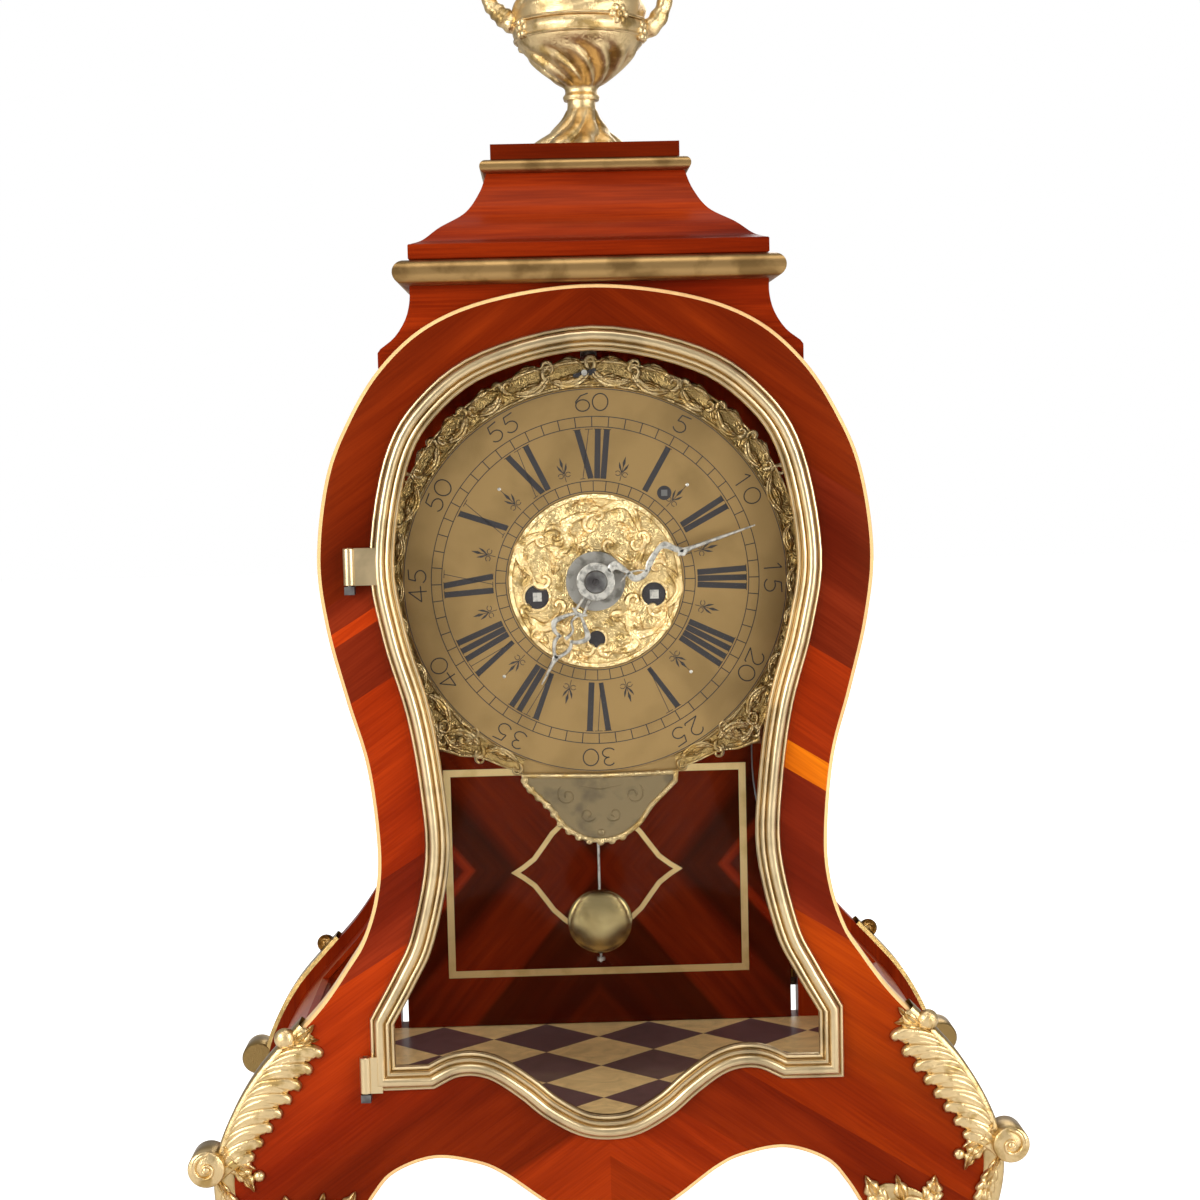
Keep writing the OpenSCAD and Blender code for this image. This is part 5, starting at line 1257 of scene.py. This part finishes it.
class CLOCK_OT_roof(bpy.types.Operator):
    """Roof with its ledge and half-round mouldings"""
    bl_idname = "clock.roof"
    bl_label = "Roof"

    def execute(self, context):
        extra = 11.2
        z0 = 539.7
        z1 = z0 + 7.5
        neck = z1 + 38
        slope = free_spline([(88.2, z1), (82, z1 + 2.6), (74, z1 + 9.2), (61.5, z1 + 17.5),
                             (54.3, z1 + 28), (50.5, neck)], 10)
        b = Builder()
        four_sided(b, [(0, z0), (88.7, z0), (89.2, z0 + 0.5), (89.2, z1 - 0.5), (88.7, z1)]
                   + [tuple(p) for p in slope] + [(0, neck)], extra)
        b.finish("Roof", "case", material("veneer_roof"), ["roof"])
        b = Builder()
        for half, base, r, inner in ((96.8, 527.2, 6, 84), (53.9, neck, 3.5, 46.6)):
            arc = [(half - r + r * math.cos(a), base + r + r * math.sin(a))
                   for a in np.linspace(-math.pi / 2, math.pi / 2, 15)]
            four_sided(b, [(inner, base)] + arc + [(inner, base + 2 * r)], extra)
        b.finish("RoofMouldings", "case", material("moulding"), ["roof_mouldings"])
        return {"FINISHED"}


FINIAL_Z0 = 600.3
FINIAL_Z1 = FINIAL_Z0 + 30


class CLOCK_OT_finial(bpy.types.Operator):
    """Rocaille foot and gadrooned urn"""
    bl_idname = "clock.finial"
    bl_label = "Finial"

    def execute(self, context):
        self.foot()
        self.urn()
        return {"FINISHED"}

    def foot(self):
        b = Builder()
        z0 = FINIAL_Z0
        profile = free_spline([(30, 0), (28, 2.5), (23, 8), (17, 14), (12, 20), (9.8, 26),
                               (9.6, 30)], 8)

        def rocks(a, h):
            low = np.clip(1 - h / 25, 0, 1)
            lean = 1 + 0.13 * np.cos(a - math.pi) * low
            ribs = np.abs(np.sin(4.5 * a - h * 0.16)) ** 0.7
            return lean * (0.80 + 0.24 * ribs * low**0.4 + 0.06 * np.sin(9 * a + h * 0.3) * low)

        lathe(b, joined((0, 0), profile * [0.98, 1], (0, 30)), (0, 0, z0), "z", 144, rocks)
        for x in (-9.5, 13.5):
            lathe(b, [(0, -3), (1.6, -2), (1.6, 2.4), (1.2, 3.2), (0, 3.6)],
                  (x, -22.5, z0 + 2.2), "z", 12)
        b.finish("FinialFoot", "case", material("gilt_round"), ["finial_foot"], 60)

    def urn(self):
        b = Builder()
        z0 = FINIAL_Z1
        profile = free_spline([
            (9.4, 0), (9.8, 2), (8.6, 4), (9.4, 7), (14, 10), (21, 16), (28, 23), (33, 29),
            (34.6, 32), (35.2, 33), (36, 36), (35.2, 39), (34.4, 40), (35.2, 47), (33, 53),
            (27, 59), (19, 64), (13, 67.5), (12, 70), (17, 73), (16, 77), (9, 82), (5, 86),
            (0.2, 90.5)], 6)

        def gadroons(a, h):
            """Ovals that lean up to the left below the belt, and waves that rise to the right
            above it."""
            lower = np.exp(-(((h - 16.5) / 8.5) ** 6))
            upper = np.exp(-(((h - 52) / 8) ** 4))
            lobes = np.abs(np.sin(5.5 * a + h * 0.226)) ** 0.7
            waves = np.abs(np.sin(3 * a - h * 0.17 + 0.8 * np.sin(2 * a))) ** 0.6
            matted = 0.008 * np.sin(60 * a) * np.sin(h * 6) * np.exp(-(((h - 28) / 3) ** 4))
            return 1 + (0.20 * lobes - 0.15) * lower + (0.09 * waves - 0.06) * upper + matted

        lathe(b, joined((0, 0), profile), (0, 0, z0), "z", 200, gadroons)
        for h, r in ((31.8, 34.8), (40.4, 35.2)):
            lathe(b, arc_points(r, h, 0.9, 0.9, 0, 342, 20), (0, 0, z0), "z", 96)
        for angle, lift in ((-152, 36), (-55, 40), (-20, 34), (30, 38), (95, 36), (150, 34)):
            a = math.radians(angle)
            for k in range(6):
                c = a + 0.11 * math.cos(k * math.pi / 3), lift + 3.6 * math.sin(k * math.pi / 3)
                centre = (34.6 * math.cos(c[0]), 34.6 * math.sin(c[0]), z0 + c[1])
                lathe(b, [(0, -2.6), (2.0, -1.8), (2.7, 0), (2.0, 1.8), (0, 2.6)], centre, "z", 10)
            centre = (35.6 * math.cos(a), 35.6 * math.sin(a), z0 + lift)
            lathe(b, [(0, -2.2), (1.7, -1.5), (2.2, 0), (1.7, 1.5), (0, 2.2)], centre, "z", 10)
        self.tube(b, [(-30, 38), (-38, 43), (-44, 48), (-48, 53), (-46, 60)],
                  [5, 5.5, 4.6, 3.8, 5.0], z0)
        self.tube(b, [(30, 34), (40, 40), (46, 52), (45, 68), (36, 78), (22, 80), (14, 74)],
                  [4.5, 5, 4, 3.6, 3.4, 3.4, 3], z0)
        b.finish("FinialUrn", "case", material("gilt_round"), ["finial_urn"], 60)

    def tube(self, b, path, radii, z0):
        """A round arm in the middle plane whose centre follows path, with its own radius at
        each point and a leafy ripple along it."""
        line = free_spline(np.column_stack([path, radii]), 8)
        p, r = line[:, :2], line[:, 2]
        d = np.gradient(p, axis=0)
        d /= np.linalg.norm(d, axis=1)[:, None]
        side = np.stack([d[:, 1], -d[:, 0]], 1)
        a = np.linspace(0, 2 * math.pi, 20, endpoint=False)
        r = (r * (1 + 0.08 * np.sin(np.arange(len(r)) * 1.3)))[:, None]
        x = p[:, 0:1] + side[:, 0:1] * r * np.cos(a)
        z = z0 + p[:, 1:2] + side[:, 1:2] * r * np.cos(a)
        y = r * np.sin(a) * (1 + 0.1 * np.cos(3 * a))
        ring = np.stack([x, y, z], -1)
        b.grid(ring, close_v=True)
        for row, order in ((0, 1), (-1, -1)):
            centre = ring[row].mean(0)
            verts = np.vstack([ring[row], centre])
            faces = [(i, (i + 1) % 20, 20)[::order] for i in range(20)]
            b.add(verts, faces)


class CLOCK_OT_pendulum(bpy.types.Operator):
    """Lens-shaped bob"""
    bl_idname = "clock.pendulum"
    bl_label = "Pendulum"

    def execute(self, context):
        b = Builder()
        radius, half_thickness = 18.3, 4.5
        lathe(b, arc_points(0, 0, radius, half_thickness, -90, 90, 25), (0, 20, 178.6), "y", 96)
        b.finish("PendulumBob", "pendulum", material("bob"), ["pendulum_bob"])
        return {"FINISHED"}


class CLOCK_OT_stage(bpy.types.Operator):
    """Floor, soft lights, white background and camera"""
    bl_idname = "clock.stage"
    bl_label = "Stage"

    def execute(self, context):
        stage = context.scene.clock_stage
        scene = context.scene
        mat, tree, shader = principled("Floor", tuple(stage.floor_color), 0.8)
        shader.inputs["Emission Color"].default_value = (1, 1, 1, 1)
        path = tree.nodes.new("ShaderNodeLightPath")
        glow = math_node(tree, "MULTIPLY", path.outputs["Is Camera Ray"], stage.floor_glow)
        tree.links.new(glow, shader.inputs["Emission Strength"])
        mesh = bpy.data.meshes.new("Floor")
        size = 6.0
        mesh.from_pydata([(-size, -size, 0), (size, -size, 0), (size, size, 0),
                          (-size, size, 0)], [], [(0, 1, 2, 3)])
        mesh.materials.append(mat)
        floor = bpy.data.objects.new("Floor", mesh)
        scene.collection.objects.link(floor)
        target = Vector((0, 0, 0.34))
        for name, place, width, power in (
                ("Key", (-1.2, -1.2, 0.75), 1.0, stage.key_power),
                ("Fill", (1.2, -1.2, 0.65), 1.0, stage.fill_power),
                ("Back", (0.5, 1.6, 1.2), 1.0, 0.5 * stage.fill_power),
                ("Top", (0, -0.7, 1.9), 0.8, 0.3 * stage.fill_power)):
            light = bpy.data.lights.new(name, "AREA")
            light.size = width
            light.energy = power
            obj = bpy.data.objects.new(name, light)
            obj.location = place
            obj.rotation_euler = (target - Vector(place)).to_track_quat("-Z", "Y").to_euler()
            scene.collection.objects.link(obj)
        self.world(scene)
        self.camera(scene)
        scene.view_settings.view_transform = "Standard"
        return {"FINISHED"}

    def world(self, scene):
        """Soft light from all round, and a white background for the camera."""
        world = bpy.data.worlds.new("Studio")
        scene.world = world
        world.use_nodes = True
        tree = world.node_tree
        tree.nodes.clear()
        out = tree.nodes.new("ShaderNodeOutputWorld")
        mix = tree.nodes.new("ShaderNodeMixShader")
        path = tree.nodes.new("ShaderNodeLightPath")
        soft = node(tree, "ShaderNodeBackground", Color=(1.0, 0.98, 0.95, 1), Strength=0.42)
        white = node(tree, "ShaderNodeBackground", Color=(1, 1, 1, 1), Strength=1.0)
        connect(tree, (path.outputs["Is Camera Ray"], mix.inputs[0]),
                (soft.outputs[0], mix.inputs[1]), (white.outputs[0], mix.inputs[2]),
                (mix.outputs[0], out.inputs[0]))

    def camera(self, scene):
        """The camera looks down by the pitch, turned right by the yaw and rolled a little."""
        pitch, yaw, roll = math.radians(4.5), math.radians(1.3), math.radians(1.35)
        forward = Vector((math.sin(yaw) * math.cos(pitch), math.cos(yaw) * math.cos(pitch),
                          -math.sin(pitch)))
        right = Vector((math.cos(yaw), -math.sin(yaw), 0))
        up = right.cross(forward)
        r2 = right * math.cos(roll) - up * math.sin(roll)
        u2 = right * math.sin(roll) + up * math.cos(roll)
        place = Vector((-22.4, -1150, 452)) * MM
        camera = bpy.data.cameras.new("Camera")
        camera.lens = 63.3
        obj = bpy.data.objects.new("Camera", camera)
        rows = Matrix((r2, u2, -forward)).transposed()
        obj.matrix_world = Matrix.Translation(place) @ rows.to_4x4()
        scene.collection.objects.link(obj)
        scene.camera = obj


class CLOCK_PT_panel(bpy.types.Panel):
    """Lists the settings and the operators of the clock"""
    bl_idname = "CLOCK_PT_panel"
    bl_label = "Bracket clock"
    bl_space_type = "VIEW_3D"
    bl_region_type = "UI"
    bl_category = "Clock"

    def draw(self, context):
        for name in GROUPS:
            group = getattr(context.scene, name)
            for key in group.bl_rna.properties.keys():
                if key not in ("rna_type", "name"):
                    self.layout.prop(group, key)
        for operator in OPERATORS:
            self.layout.operator(operator.bl_idname)


GROUPS = {"clock_case": ClockCase, "clock_metal": ClockMetal, "clock_dial": ClockDial,
          "clock_stage": ClockStage}
OPERATORS = (CLOCK_OT_frame, CLOCK_OT_case, CLOCK_OT_door, CLOCK_OT_dial, CLOCK_OT_hands,
             CLOCK_OT_mounts, CLOCK_OT_roof, CLOCK_OT_finial, CLOCK_OT_pendulum, CLOCK_OT_stage)


def register():
    for cls in (*GROUPS.values(), *OPERATORS, CLOCK_PT_panel):
        bpy.utils.register_class(cls)
    for name, group in GROUPS.items():
        setattr(bpy.types.Scene, name, PointerProperty(type=group))


def unregister():
    for name in GROUPS:
        delattr(bpy.types.Scene, name)
    for cls in reversed((*GROUPS.values(), *OPERATORS, CLOCK_PT_panel)):
        bpy.utils.unregister_class(cls)


def main():
    """Runs every operator."""
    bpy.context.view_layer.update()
    register()
    for operator in OPERATORS:
        group, name = operator.bl_idname.split(".")
        getattr(getattr(bpy.ops, group), name)()
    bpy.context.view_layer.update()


if __name__ == "__main__":
    main()
